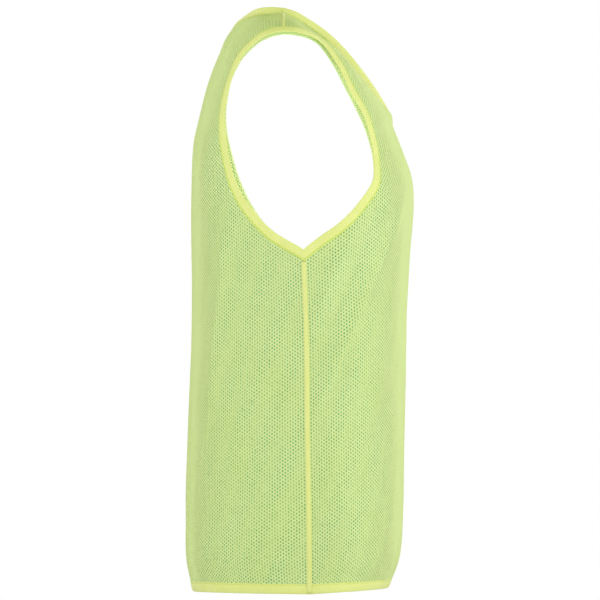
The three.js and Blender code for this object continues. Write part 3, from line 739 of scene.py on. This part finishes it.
# Profile of a folded binding: share of the width from its bound edge to its open edge, and level
BINDING_PROFILE = (
    (0.0, 0.05), (0.02, 0.3), (0.07, 0.4), (0.13, 0.18), (0.17, 0.16), (0.22, 0.4), (0.35, 0.55),
    (0.55, 0.6), (0.75, 0.5), (0.9, 0.25), (0.97, -0.1), (1.0, -0.5), (1.0, -0.9), (0.97, -1.35),
    (0.9, -1.7), (0.75, -1.95), (0.5, -2.1), (0.25, -2.05), (0.17, -1.9), (0.13, -1.9), (0.07, -2.1),
    (0.0, -1.95),
)
TAPE_PROFILE = (
    (0.0, 0.1), (0.04, 0.35), (0.13, 0.52), (0.25, 0.5), (0.38, 0.62), (0.5, 0.66),
    (0.62, 0.62), (0.75, 0.5), (0.87, 0.52), (0.96, 0.35), (1.0, 0.1), (0.5, 0.05),
)


def swept(name, rings, across, along, closed, materials, inside=None):
    """Strip through rings of points, with its flat places across and along. Without a closed line, both
    of its ends are capped."""
    index = np.arange(rings.shape[0] * rings.shape[1]).reshape(rings.shape[:2])
    ahead = np.roll(index, -1, axis=0) if closed else index[1:]
    here = index if closed else index[:-1]
    corners = [here, np.roll(here, -1, axis=1), np.roll(ahead, -1, axis=1), ahead]
    faces = np.stack(corners, axis=-1).reshape(-1, 4)
    flat = np.stack(np.broadcast_arrays(along[:, None], across), axis=-1).reshape(-1, 2)
    kinds = None if inside is None else np.tile(inside, len(here)).astype(int)
    maps = {"cloth": flat * CLOTH_MAP_SCALE}
    piece = new_object(name, rings.reshape(-1, 3), faces, maps, materials, kinds)
    if not closed:
        close_ends(piece, index)
    return piece


def close_ends(piece, index):
    """Caps over both ends of an open strip"""
    shape = bmesh.new()
    shape.from_mesh(piece.data)
    shape.verts.ensure_lookup_table()
    for ring in (index[0][::-1], index[-1]):
        shape.faces.new([shape.verts[at] for at in ring])
    bmesh.ops.recalc_face_normals(shape, faces=shape.faces)
    shape.to_mesh(piece.data)
    shape.free()


def on_stations(stations, shares):
    """By panel: which stations are on it, with their heights and turns at shares of the width"""
    for panel_name, panel in PANELS.items():
        chosen = [at for at, station in enumerate(stations) if station[0] == panel_name]
        if chosen:
            numbers = np.array([stations[at][1:] for at in chosen])
            low, high, start, end = numbers.T[:, :, None]
            yield panel, np.array(chosen), low + (high - low) * shares, start + (end - start) * shares


def strip(name, stations, materials, closed):
    """Folded binding, swept along stations of (panel, two heights, two turns).
    Its inner faces have the second material."""
    shares, levels = np.array(BINDING_PROFILE).T
    rings = np.zeros((len(stations), len(shares), 3))
    rate, other_rate, share_rate = PUCKER_RATES
    for panel, chosen, heights, turns in on_stations(stations, shares):
        phase = chosen[:, None]
        waves = np.sin(phase * rate) + np.sin(phase * other_rate + shares * share_rate)
        puff = np.clip(levels, 0, None) * PUCKER * waves
        rings[chosen] = panel.raised(heights, turns, levels + puff)
    centres = rings.mean(axis=1)
    along = distances(np.vstack([centres, centres[:1]]) if closed else centres)
    across = distances(rings[len(stations) // 2])
    inside = levels + np.roll(levels, -1) < INSIDE_LEVEL
    piece = swept(name, rings, across, along[:len(stations)], closed, materials, inside)
    return piece, along[-1]


def line_stations(edge, panel_name, backwards=False):
    """Stations along one sampled edge"""
    heights, turns = edge["bound"]
    open_heights, open_turns = edge["open"]
    places = list(zip(heights, open_heights, turns, open_turns))[::STATION_STEP]
    return [(panel_name, *place) for place in (places[::-1] if backwards else places)]


def neck_stations():
    """Once round the neck: up the left front, down the back and up the right front again"""
    left_front = line_stations(NECK["front", "left"], "front")
    left_back = line_stations(NECK["back", "left"], "back", True)
    right_back = line_stations(NECK["back", "right"], "back")
    right_front = line_stations(NECK["front", "right"], "front", True)
    return left_front + left_back[1:] + right_back[1:] + right_front[1:-1]


def armhole_stations(side):
    """Once round an armhole: up the front and down the back"""
    front = line_stations(ARMHOLE["front", side], "front")
    back = line_stations(ARMHOLE["back", side], "back", True)
    return front + back[1:-1]


def hem_stations(panel_name):
    """Round the hem from one side seam to the other"""
    turns = np.sin(np.linspace(-1, 1, HEM_STATIONS) * QUARTER_TURN * HEM_END_SHARE)
    return [(panel_name, HEM_WIDTH, 0.0, turn, turn) for turn in turns]


def stitch_row(name, stations, share, level, closed, material):
    """Row of single stitches over a strip, at a share of its width"""
    lines = np.zeros((len(stations) + closed, 6))
    for panel, chosen, heights, turns in on_stations(stations, share):
        points = panel.raised(heights, turns, level)
        lines[chosen] = np.concatenate([points, panel.normal(heights, turns)], axis=-1)[:, 0]
    if closed:
        lines[-1] = lines[0]
    along = distances(lines[:, :3])
    count = int(along[-1] / STITCH_SPACING)
    centres = (np.arange(count) + 0.5) * along[-1] / count

    def at(distance):
        return np.stack([np.interp(distance, along, lines[:, axis]) for axis in range(6)], axis=1)

    here, ahead, behind = at(centres), at(centres + STITCH_LENGTH / 2), at(centres - STITCH_LENGTH / 2)
    direction = unit(ahead[:, :3] - behind[:, :3])
    up = unit(here[:, 3:])
    sideways = np.cross(direction, up)
    points = []
    for offset, radius in STITCH_RINGS:
        sink = -STITCH_RADIUS * (2 * abs(offset)) ** 2
        base = here[:, :3] + direction * offset * STITCH_LENGTH + up * sink
        for angle in np.arange(STITCH_CORNERS) * math.pi / (STITCH_CORNERS / 2):
            spoke = sideways * math.cos(angle) + up * math.sin(angle)
            points.append(base + spoke * STITCH_RADIUS * radius)
    points = np.stack(points, axis=1)
    size = points.shape[1]
    ring = np.arange(size).reshape(-1, STITCH_CORNERS)
    corners = [ring[:-1], np.roll(ring[:-1], -1, 1), np.roll(ring[1:], -1, 1), ring[1:]]
    quads = np.stack(corners, axis=-1).reshape(-1, 4)
    half_ends = np.array([[5, 4, 3, 0], [3, 2, 1, 0]])
    ends = np.concatenate([ring[0][half_ends], ring[-1][half_ends[:, ::-1]]])
    faces = np.concatenate([quads, ends])[None] + np.arange(count)[:, None, None] * size
    return new_object(name, points.reshape(-1, 3), faces.reshape(-1, 4), None, [material])


def side_seam_rings(side):
    """Rings of the tape up a side seam, across it from the front to the back"""
    top = ARMHOLE["front", side]["bound"][0][0] - TAPE_TOP_GAP
    heights = np.linspace(HEM_WIDTH * TAPE_HEM_SHARE, top, SIDE_TAPE_RINGS)
    rings = np.zeros((len(heights), len(TAPE_PROFILE), 3))
    above, blend = TAPE_HEM_BLEND
    over_hem = TAPE_HEM_LIFT * smoothstep((HEM_WIDTH + above - heights) / blend)
    wave = 1
    for size, rate, start in TAPE_WAVES:
        wave = wave + size * np.sin(heights * rate + start)
    for at, (share, level) in enumerate(TAPE_PROFILE):
        panel = FRONT if share < 0.5 else BACK
        seam = panel.form_point(heights, np.ones(len(heights)))
        beside = panel.form_point(heights, np.full(len(heights), 1 - TAPE_TURN_STEP))
        per_turn = np.linalg.norm(seam - beside, axis=1) / TAPE_TURN_STEP
        turns = (1 - abs(share - 0.5) * SIDE_TAPE_WIDTH / per_turn) * SIDES[side]
        rings[:, at] = panel.raised(heights, turns, level * wave + over_hem)
    return rings


def shoulder_seam_rings(side):
    """Rings of the tape out along a shoulder seam, across it from the front to the back"""
    start = abs(NECK["front", side]["bound"][1][-1]) - TAPE_TUCK_TURN
    end = abs(ARMHOLE["front", side]["bound"][1][-1]) + TAPE_TUCK_TURN
    turns = np.linspace(start, end, SHOULDER_TAPE_RINGS) * SIDES[side]
    rings = np.zeros((len(turns), len(TAPE_PROFILE), 3))
    for at, (share, level) in enumerate(TAPE_PROFILE):
        panel = FRONT if share < 0.5 else BACK
        heights = np.full(len(turns), SHOULDER_HEIGHT - abs(share - 0.5) * SHOULDER_TAPE_WIDTH)
        rings[:, at] = panel.raised(heights, turns, np.full(len(turns), level))
    return rings


def seam_tape(name, node, rings, width, material):
    """Raised tape over a seam, from rings of points"""
    along = distances(rings[:, 0])
    piece = swept(name, rings, np.array(TAPE_PROFILE)[:, 0] * width, along, False, [material])
    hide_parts(node)


def colour(red, green, blue):
    """Linear colour from the usual 0 to 255 values"""
    values = [value / 255 for value in (red, green, blue)]
    return tuple(((value + 0.055) / 1.055) ** 2.4 for value in values) + (1.0,)


# Gloss and sheen of all the cloth
CLOTH_SPECULAR = 0.12
SHEEN_ROUGHNESS = 0.5

# Sizes of the mottle and of the patches, as noise scales, and how sharp the edge of a patch is
NOISE_DETAIL = 2.0
YARN_MOTTLE = 22.0
BINDING_MOTTLE = 40.0
PLY_PATCHES = 14.0
INNER_SIDE_PATCHES = 30.0
FLOOR_PATCHES = 3.0
PATCH_EDGE = (0.36, 0.64)

# Bumps: strength, and height in metres
YARN_BUMP = (0.35, 0.0003)
NET_BUMP = (0.3, 0.0004)
BINDING_BUMP = (0.25, 0.0003)

# Stitches and mottle from the dark to the light tone
YARN_TONES = (0.2, 0.95)
BINDING_TONES = (0.25, 0.85)

# Soft edges of the holes painted dark as shade and of the dips painted darker as shade: how far from the
# middle they start and end, in millimetres, and for the inner ply how far beyond its holes' radius and
# within it
INNER_SIDE_HOLE_EDGE = (1.25, 0.7)
BINDING_DIP_SHADE_EDGE = (1.15, 0.55)
PLY_HOLE_BEYOND = 0.35
PLY_HOLE_WITHIN = 0.25

# How deep light goes into the cloth's inner side, in millimetres
GLOW_DEPTH = 8

# The yarn's stitches, and a binding's ribs and its own net
STITCH_SCALE = 0.9
RIB_SCALE = 1.1
BINDING_COLUMN_SPACING = 2.9
BINDING_ROW_SPACING = 3.6

# Inner ply's own net, a little finer and leaning against the outer one
INNER_COLUMN_SPACING = 2.68
INNER_PLY_LEAN = 0.055

# Height over which the inner ply's painted hole shade fades, how far, and the deeper green painted there as
# shade
SHOULDER_SHADE_HEIGHTS = (560, 660)
SHOULDER_DOT_FADE_SHARE = 0.95
SHOULDER_PAINTED_SHADE = colour(158, 200, 92)

# How far round a binding's profile the holes beside its sewn edge begin
SEWN_EDGE_HOLES = (15.0, 17.5)

# How far from the sewn edge of a binding and of a seam tape their painted shade fades, and its colour
BINDING_EDGE_SHADE_FADE = (3.6, 1.2)
TAPE_EDGE_SHADE_FADE = (0.8, 0.2)
SEWN_EDGE_SHADE = colour(178, 202, 84)


def add_node(tree, kind, inputs, **settings):
    """Node with its settings, and with its inputs linked or set"""
    node = tree.nodes.new(kind)
    for key, value in settings.items():
        setattr(node, key, value)
    for key, value in inputs.items():
        if isinstance(value, bpy.types.NodeSocket):
            tree.links.new(value, node.inputs[key])
        else:
            node.inputs[key].default_value = value
    return node


class Look:
    """Procedural material with its nodes added by name"""

    def __init__(self, name, roughness, sheen):
        self.material = bpy.data.materials.new(name)
        self.material.use_nodes = True
        self.tree = self.material.node_tree
        self.shader = self.tree.nodes["Principled BSDF"]
        self.shader.inputs["Roughness"].default_value = roughness
        self.shader.inputs["Specular IOR Level"].default_value = CLOTH_SPECULAR
        self.shader.inputs["Sheen Weight"].default_value = sheen
        self.shader.inputs["Sheen Roughness"].default_value = SHEEN_ROUGHNESS

    def add(self, kind, inputs, **settings):
        return add_node(self.tree, kind, inputs, **settings)

    def let_light_through(self, share, depth):
        """Light from the far side glows through thin cloth"""
        self.shader.inputs["Subsurface Weight"].default_value = share
        self.shader.inputs["Subsurface Radius"].default_value = (1, 1, 1)
        self.shader.inputs["Subsurface Scale"].default_value = depth * MM

    def link(self, socket, name):
        self.tree.links.new(socket, self.shader.inputs[name])

    def mix(self, share, first, second):
        node = self.add("ShaderNodeMix", {0: share, 6: first, 7: second}, data_type="RGBA")
        return node.outputs[2]

    def number(self, operation, *values):
        return self.add("ShaderNodeMath", dict(enumerate(values)), operation=operation).outputs[0]

    def vector(self, operation, *values):
        node = self.add("ShaderNodeVectorMath", dict(enumerate(values)), operation=operation)
        return node.outputs["Value" if operation in ("LENGTH", "DOT_PRODUCT") else "Vector"]

    def cloth_place(self):
        """Place in the flat cloth, in millimetres"""
        flat = self.add("ShaderNodeUVMap", {}, uv_map="cloth").outputs[0]
        return self.vector("MULTIPLY", flat, (1 / CLOTH_MAP_SCALE,) * 3)

    def map_up(self, place):
        return self.vector("DOT_PRODUCT", place, (0.0, 1.0, 0.0))

    def noise(self, scale):
        place = self.add("ShaderNodeTexCoord", {}).outputs["Object"]
        inputs = {"Vector": place, "Scale": scale, "Detail": NOISE_DETAIL}
        return self.add("ShaderNodeTexNoise", inputs).outputs["Fac"]

    def waves(self, place, scale, distortion, detail):
        inputs = {"Vector": place, "Scale": scale, "Distortion": distortion, "Detail": detail}
        return self.add("ShaderNodeTexWave", inputs).outputs["Fac"]

    def patches(self, scale):
        return self.ramp(self.noise(scale), *PATCH_EDGE)

    def ramp(self, value, low, high):
        """0 to 1 as the value goes from low to high"""
        inputs = {"Value": value, "From Min": low, "From Max": high}
        return self.add("ShaderNodeMapRange", inputs, interpolation_type="SMOOTHSTEP").outputs[0]

    def bump(self, height, strength, distance):
        node = self.add("ShaderNodeBump", {"Height": height, "Strength": strength, "Distance": distance})
        self.link(node.outputs[0], "Normal")


def hole_distance(look, place, column_spacing, row_spacing):
    """Distance in millimetres from the nearest point of the net's lattice"""
    cell = (2 * column_spacing, row_spacing, 1.0)
    inverse = (1 / cell[0], 1 / cell[1], 0.0)
    shares = look.vector("MULTIPLY", place, inverse)
    nearest = []
    for start in ((0.5, 0.5, 0.0), (0.0, 0.0, 0.0)):
        moved = look.vector("ADD", shares, start)
        part = look.vector("FRACTION", moved)
        offset = look.vector("SUBTRACT", part, (0.5, 0.5, 0.0))
        nearest.append(look.vector("LENGTH", look.vector("MULTIPLY", offset, cell)))
    return look.number("MINIMUM", *nearest)


def yarn_look(name, light, dark, roughness, sheen):
    """Knitted yarn: fine stitches, a little mottled, with the light catching its loops"""
    look = Look(name, roughness, sheen)
    place = look.cloth_place()
    fine = look.waves(place, STITCH_SCALE, 2.2, 2.0)
    mottle = look.noise(YARN_MOTTLE)
    loops = look.number("MULTIPLY_ADD", fine, 0.45, look.number("MULTIPLY", mottle, 0.7))
    look.link(look.mix(look.ramp(loops, *YARN_TONES), dark, light), "Base Color")
    look.bump(fine, *YARN_BUMP)
    return look.material


def ply_look(name, cloth, cloth_shade, teal_painted_hole_shade, green_painted_hole_shade, radius, glow=0.0):
    """Inner ply: knitted cloth with the holes of its own net painted as dark dots of shade, in soft patches.
    Towards the shoulders the painted dots fade and the cloth is painted a deeper green, as painted shade."""
    look = Look(name, 0.85, 0.05)
    look.let_light_through(glow, GLOW_DEPTH)
    place = look.cloth_place()
    across = look.vector("DOT_PRODUCT", place, (1.0, -INNER_PLY_LEAN, 0.0))
    up = look.map_up(place)
    leaning = look.add("ShaderNodeCombineXYZ", {0: across, 1: up}).outputs[0]
    distance = hole_distance(look, leaning, INNER_COLUMN_SPACING, ROW_SPACING)
    patches = look.patches(PLY_PATCHES)
    # Painted shade: dark dots where the net's holes open onto the shade beneath
    dot = look.ramp(distance, radius + PLY_HOLE_BEYOND, radius - PLY_HOLE_WITHIN)
    # Painted shade towards the shoulders: the dots fade and the cloth turns a deeper green
    shoulder_shade = look.ramp(up, *SHOULDER_SHADE_HEIGHTS)
    dot = look.number("MULTIPLY", dot, look.number("MULTIPLY_ADD", shoulder_shade, -SHOULDER_DOT_FADE_SHARE, 1.0))
    ground = look.mix(shoulder_shade, look.mix(patches, cloth, cloth_shade), SHOULDER_PAINTED_SHADE)
    dots = look.mix(patches, teal_painted_hole_shade, green_painted_hole_shade)
    look.link(look.mix(dot, ground, dots), "Base Color")
    look.bump(distance, *NET_BUMP)
    return look.material


def inner_side_look(name, cloth, cloth_shade, teal_painted_hole_shade):
    """Inner side of a binding: light comes through it, its ground is painted lighter than the binding's
    cloth as painted light, and beside its sewn edge the net's holes are painted as dark dots of shade
    """
    look = Look(name, 0.85, 0.05)
    look.let_light_through(1.0, GLOW_DEPTH)
    place = look.cloth_place()
    across = look.map_up(place)
    distance = hole_distance(look, place, BINDING_COLUMN_SPACING, BINDING_ROW_SPACING)
    patches = look.patches(INNER_SIDE_PATCHES)
    near_edge = look.ramp(across, *SEWN_EDGE_HOLES)
    # Painted shade in the holes beside the sewn edge, on a ground painted lighter as painted light
    dot = look.number("MULTIPLY", look.ramp(distance, *INNER_SIDE_HOLE_EDGE), near_edge)
    look.link(look.mix(dot, look.mix(patches, cloth, cloth_shade), teal_painted_hole_shade), "Base Color")
    look.bump(distance, *NET_BUMP)
    return look.material


def binding_look(name, light, dark, dip_shade_and_thread_colour, edge_shade_fade, edge_shade_share):
    """Folded net strip: fine ribs, small dips where the net's holes lie on more cloth, painted darker
    as shade, and a deeper colour painted as shade along its sewn edge, where the strip is drawn in"""
    look = Look(name, 0.7, 0.2)
    place = look.cloth_place()
    across = look.map_up(place)
    ribs = look.waves(place, RIB_SCALE, 0.8, 1.0)
    mottle = look.noise(BINDING_MOTTLE)
    tone = look.number("MULTIPLY_ADD", ribs, 0.3, look.number("MULTIPLY", mottle, 0.8))
    ground = look.mix(look.ramp(tone, *BINDING_TONES), dark, light)
    # Painted shade along the groove at the sewn edge
    painted_edge_shade = look.number("MULTIPLY", look.ramp(across, *edge_shade_fade), edge_shade_share)
    ground = look.mix(painted_edge_shade, ground, SEWN_EDGE_SHADE)
    distance = hole_distance(look, place, BINDING_COLUMN_SPACING, BINDING_ROW_SPACING)
    # Painted shade: the dips where the holes lie are darker
    look.link(look.mix(look.ramp(distance, *BINDING_DIP_SHADE_EDGE), ground, dip_shade_and_thread_colour), "Base Color")
    look.bump(distance, *BINDING_BUMP)
    return look.material


YARN = yarn_look("net_yarn", colour(207, 221, 164), colour(200, 215, 154), 0.8, 0.05)
# Inner ply colours: cloth and its tone, then the teal and green painted shade of its holes
PLY_FACE = ply_look(
    "ply_face", colour(178, 209, 124), colour(182, 211, 118), colour(104, 172, 124), colour(116, 173, 98),
    1.75,
)
PLY_BACK = ply_look(
    "ply_back", colour(216, 230, 156), colour(210, 226, 146), colour(100, 166, 118), colour(116, 170, 104),
    0.8, 0.7,
)
# Light and dark tones, and the dip tone: painted shade in the holes of bindings and tapes, and the stitches'
# whole colour, as they carry no cloth map
BINDING_SHADES = (colour(214, 218, 154), colour(208, 213, 142), colour(203, 208, 112))
TAPE_SHADES = (colour(212, 215, 154), colour(206, 210, 144), colour(201, 206, 113))
THREAD_SHADES = (colour(204, 210, 124), colour(198, 205, 116), colour(194, 202, 110))
BINDING = binding_look("binding_cloth", *BINDING_SHADES, BINDING_EDGE_SHADE_FADE, 0.7)
HEM = binding_look("hem_cloth", *BINDING_SHADES, BINDING_EDGE_SHADE_FADE, 0.2)
# Inner side of the bindings: painted light, lighter and paler than the binding cloth; teal dots as painted
# shade in its holes
BINDING_INSIDE = inner_side_look(
    "binding_inside", colour(226, 233, 178), colour(222, 230, 170), colour(96, 168, 140),
)
TAPE = binding_look("seam_tape_cloth", *TAPE_SHADES, TAPE_EDGE_SHADE_FADE, 0.6)
THREAD = binding_look("thread", *THREAD_SHADES, TAPE_EDGE_SHADE_FADE, 0.0)

# Rows of stitches on a binding: share of its width, and level, outside and inside
BINDING_STITCHES = ((0.15, 0.25), (0.15, -2.0))


def bound_edge(name, node, stations, closed, material):
    """Folded binding with its rows of stitches outside and inside"""
    piece, length = strip(name, stations, [material, BINDING_INSIDE], closed)
    stitches = [
        stitch_row(f"{name}_stitches_{at}", stations, share, level, closed, THREAD)
        for at, (share, level) in enumerate(BINDING_STITCHES, 1)
    ]
    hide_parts(node)


for panel_name, cloth in FLAT_CLOTH.items():
    nets = [net_sheet(panel_name, side, YARN) for side in SIDES]
    pieces = [(net, cloth.girth, area) for net, area in nets]
    ply = ply_sheet(panel_name, PLY_FACE, PLY_BACK)
    pieces.append((ply, cloth.girth * 2, sum(area for _, area in nets)))
    for piece, width, area in pieces:
        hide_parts(f"{panel_name}_panel")
        size = (width * MM, cloth.length * MM)

bound_edge("neck_binding_strip", "neck_binding", neck_stations(), True, BINDING)
for side in SIDES:
    name, node = f"armhole_binding_strip_{side}", f"armhole_binding_{side}"
    bound_edge(name, node, armhole_stations(side), True, BINDING)
    name, node = f"side_seam_tape_{side}", f"side_seam_{side}"
    seam_tape(name, node, side_seam_rings(side), SIDE_TAPE_WIDTH, TAPE)
    name, node = f"shoulder_seam_tape_{side}", f"shoulder_seam_{side}"
    seam_tape(name, node, shoulder_seam_rings(side), SHOULDER_TAPE_WIDTH, TAPE)
for panel_name in PANELS:
    name, node = f"hem_binding_strip_{panel_name}", f"hem_binding_{panel_name}"
    bound_edge(name, node, hem_stations(panel_name), False, HEM)


def add_object(name, data):
    """Object with this data in the scene"""
    made = bpy.data.objects.new(name, data)
    bpy.context.collection.objects.link(made)
    return made


# Camera: far away and level with the middle of the bib, seen from the wearer's right, in metres
CAMERA_DISTANCE = 30.0
CAMERA_CLIP_END = 200
VIEW_WIDTH = 0.7326
VIEW_CENTRE = (0.0, -0.0208, -0.3413)
SENSOR_WIDTH = 36.0

camera_data = bpy.data.cameras.new("camera")
camera_data.sensor_width = SENSOR_WIDTH
camera_data.lens = SENSOR_WIDTH * CAMERA_DISTANCE / VIEW_WIDTH
camera_data.clip_end = CAMERA_CLIP_END
camera = add_object("camera", camera_data)
camera.location = (-CAMERA_DISTANCE, *VIEW_CENTRE[1:])
camera.rotation_euler = (QUARTER_TURN, 0, -QUARTER_TURN)
bpy.context.scene.camera = camera

# Plain pale floor a little below the hem
FLOOR_HALF_WIDTH = 3.0
FLOOR_HEIGHT = -0.76
FLOOR_CORNERS = ((-1, -1), (1, -1), (1, 1), (-1, 1))
floor_mesh = bpy.data.meshes.new("floor")
floor_places = [(x * FLOOR_HALF_WIDTH, y * FLOOR_HALF_WIDTH, FLOOR_HEIGHT) for x, y in FLOOR_CORNERS]
floor_mesh.from_pydata(floor_places, [], [(0, 1, 2, 3)])
floor = add_object("floor", floor_mesh)
floor_look = Look("floor_pale", 0.9, 0.0)
patches = floor_look.noise(FLOOR_PATCHES)
floor_look.link(floor_look.mix(patches, colour(226, 226, 226), colour(230, 230, 230)), "Base Color")
floor_mesh.materials.append(floor_look.material)

# White studio all round, dimmer and a little warm overhead: how far up that starts and ends
WORLD_STRENGTH = 1.0
WHITE = (1, 1, 1, 1)
OVERHEAD = (0.69, 0.78, 0.28, 1)
OVERHEAD_START = 0.15
OVERHEAD_END = 0.85
world = bpy.data.worlds.new("studio")
world.use_nodes = True
tree = world.node_tree
direction = add_node(tree, "ShaderNodeTexCoord", {}).outputs["Generated"]
upward = add_node(tree, "ShaderNodeSeparateXYZ", {0: direction}).outputs["Z"]
inputs = {"Value": upward, "From Min": OVERHEAD_START, "From Max": OVERHEAD_END}
overhead = add_node(tree, "ShaderNodeMapRange", inputs, interpolation_type="SMOOTHSTEP").outputs[0]
sky = add_node(tree, "ShaderNodeMix", {0: overhead, 6: WHITE, 7: OVERHEAD}, data_type="RGBA").outputs[2]
background = tree.nodes["Background"]
background.inputs["Strength"].default_value = WORLD_STRENGTH
tree.links.new(sky, background.inputs["Color"])
bpy.context.scene.world = world

# Soft lamps that face the middle of the view: name, place in metres, size in metres, power in watts
LAMPS = (
    ("key", (-3.2, 0.1, -0.36), 0.8, 24),
    ("front", (-0.9, -2.9, -0.1), 1.3, 28.5),
    ("back", (-0.9, 2.9, -0.1), 1.3, 15.5),
    ("far", (2.8, -0.4, 0.6), 2.2, 34),
)
for name, place, size, power in LAMPS:
    lamp_data = bpy.data.lights.new(name, "AREA")
    lamp_data.shape = "DISK"
    lamp_data.size = size
    lamp_data.energy = power
    lamp = add_object(name, lamp_data)
    lamp.location = place
    lamp.visible_camera = False
    aim = np.array(VIEW_CENTRE) - np.array(place)
    flat_reach = math.hypot(aim[0], aim[1])
    lamp.rotation_euler = (math.atan2(flat_reach, -aim[2]), 0, math.atan2(aim[1], aim[0]) - QUARTER_TURN)

# Light that has come through the cloth and fills the hollow: place and radius in metres, power in watts
FILL_PLACE = (0.0, -0.03, -0.15)
FILL_RADIUS = 0.07
FILL_POWER = 0.3
fill_data = bpy.data.lights.new("fill", "POINT")
fill_data.shadow_soft_size = FILL_RADIUS
fill_data.energy = FILL_POWER
fill = add_object("fill", fill_data)
fill.location = FILL_PLACE
fill.visible_camera = False
bpy.context.scene.view_settings.view_transform = "Standard"
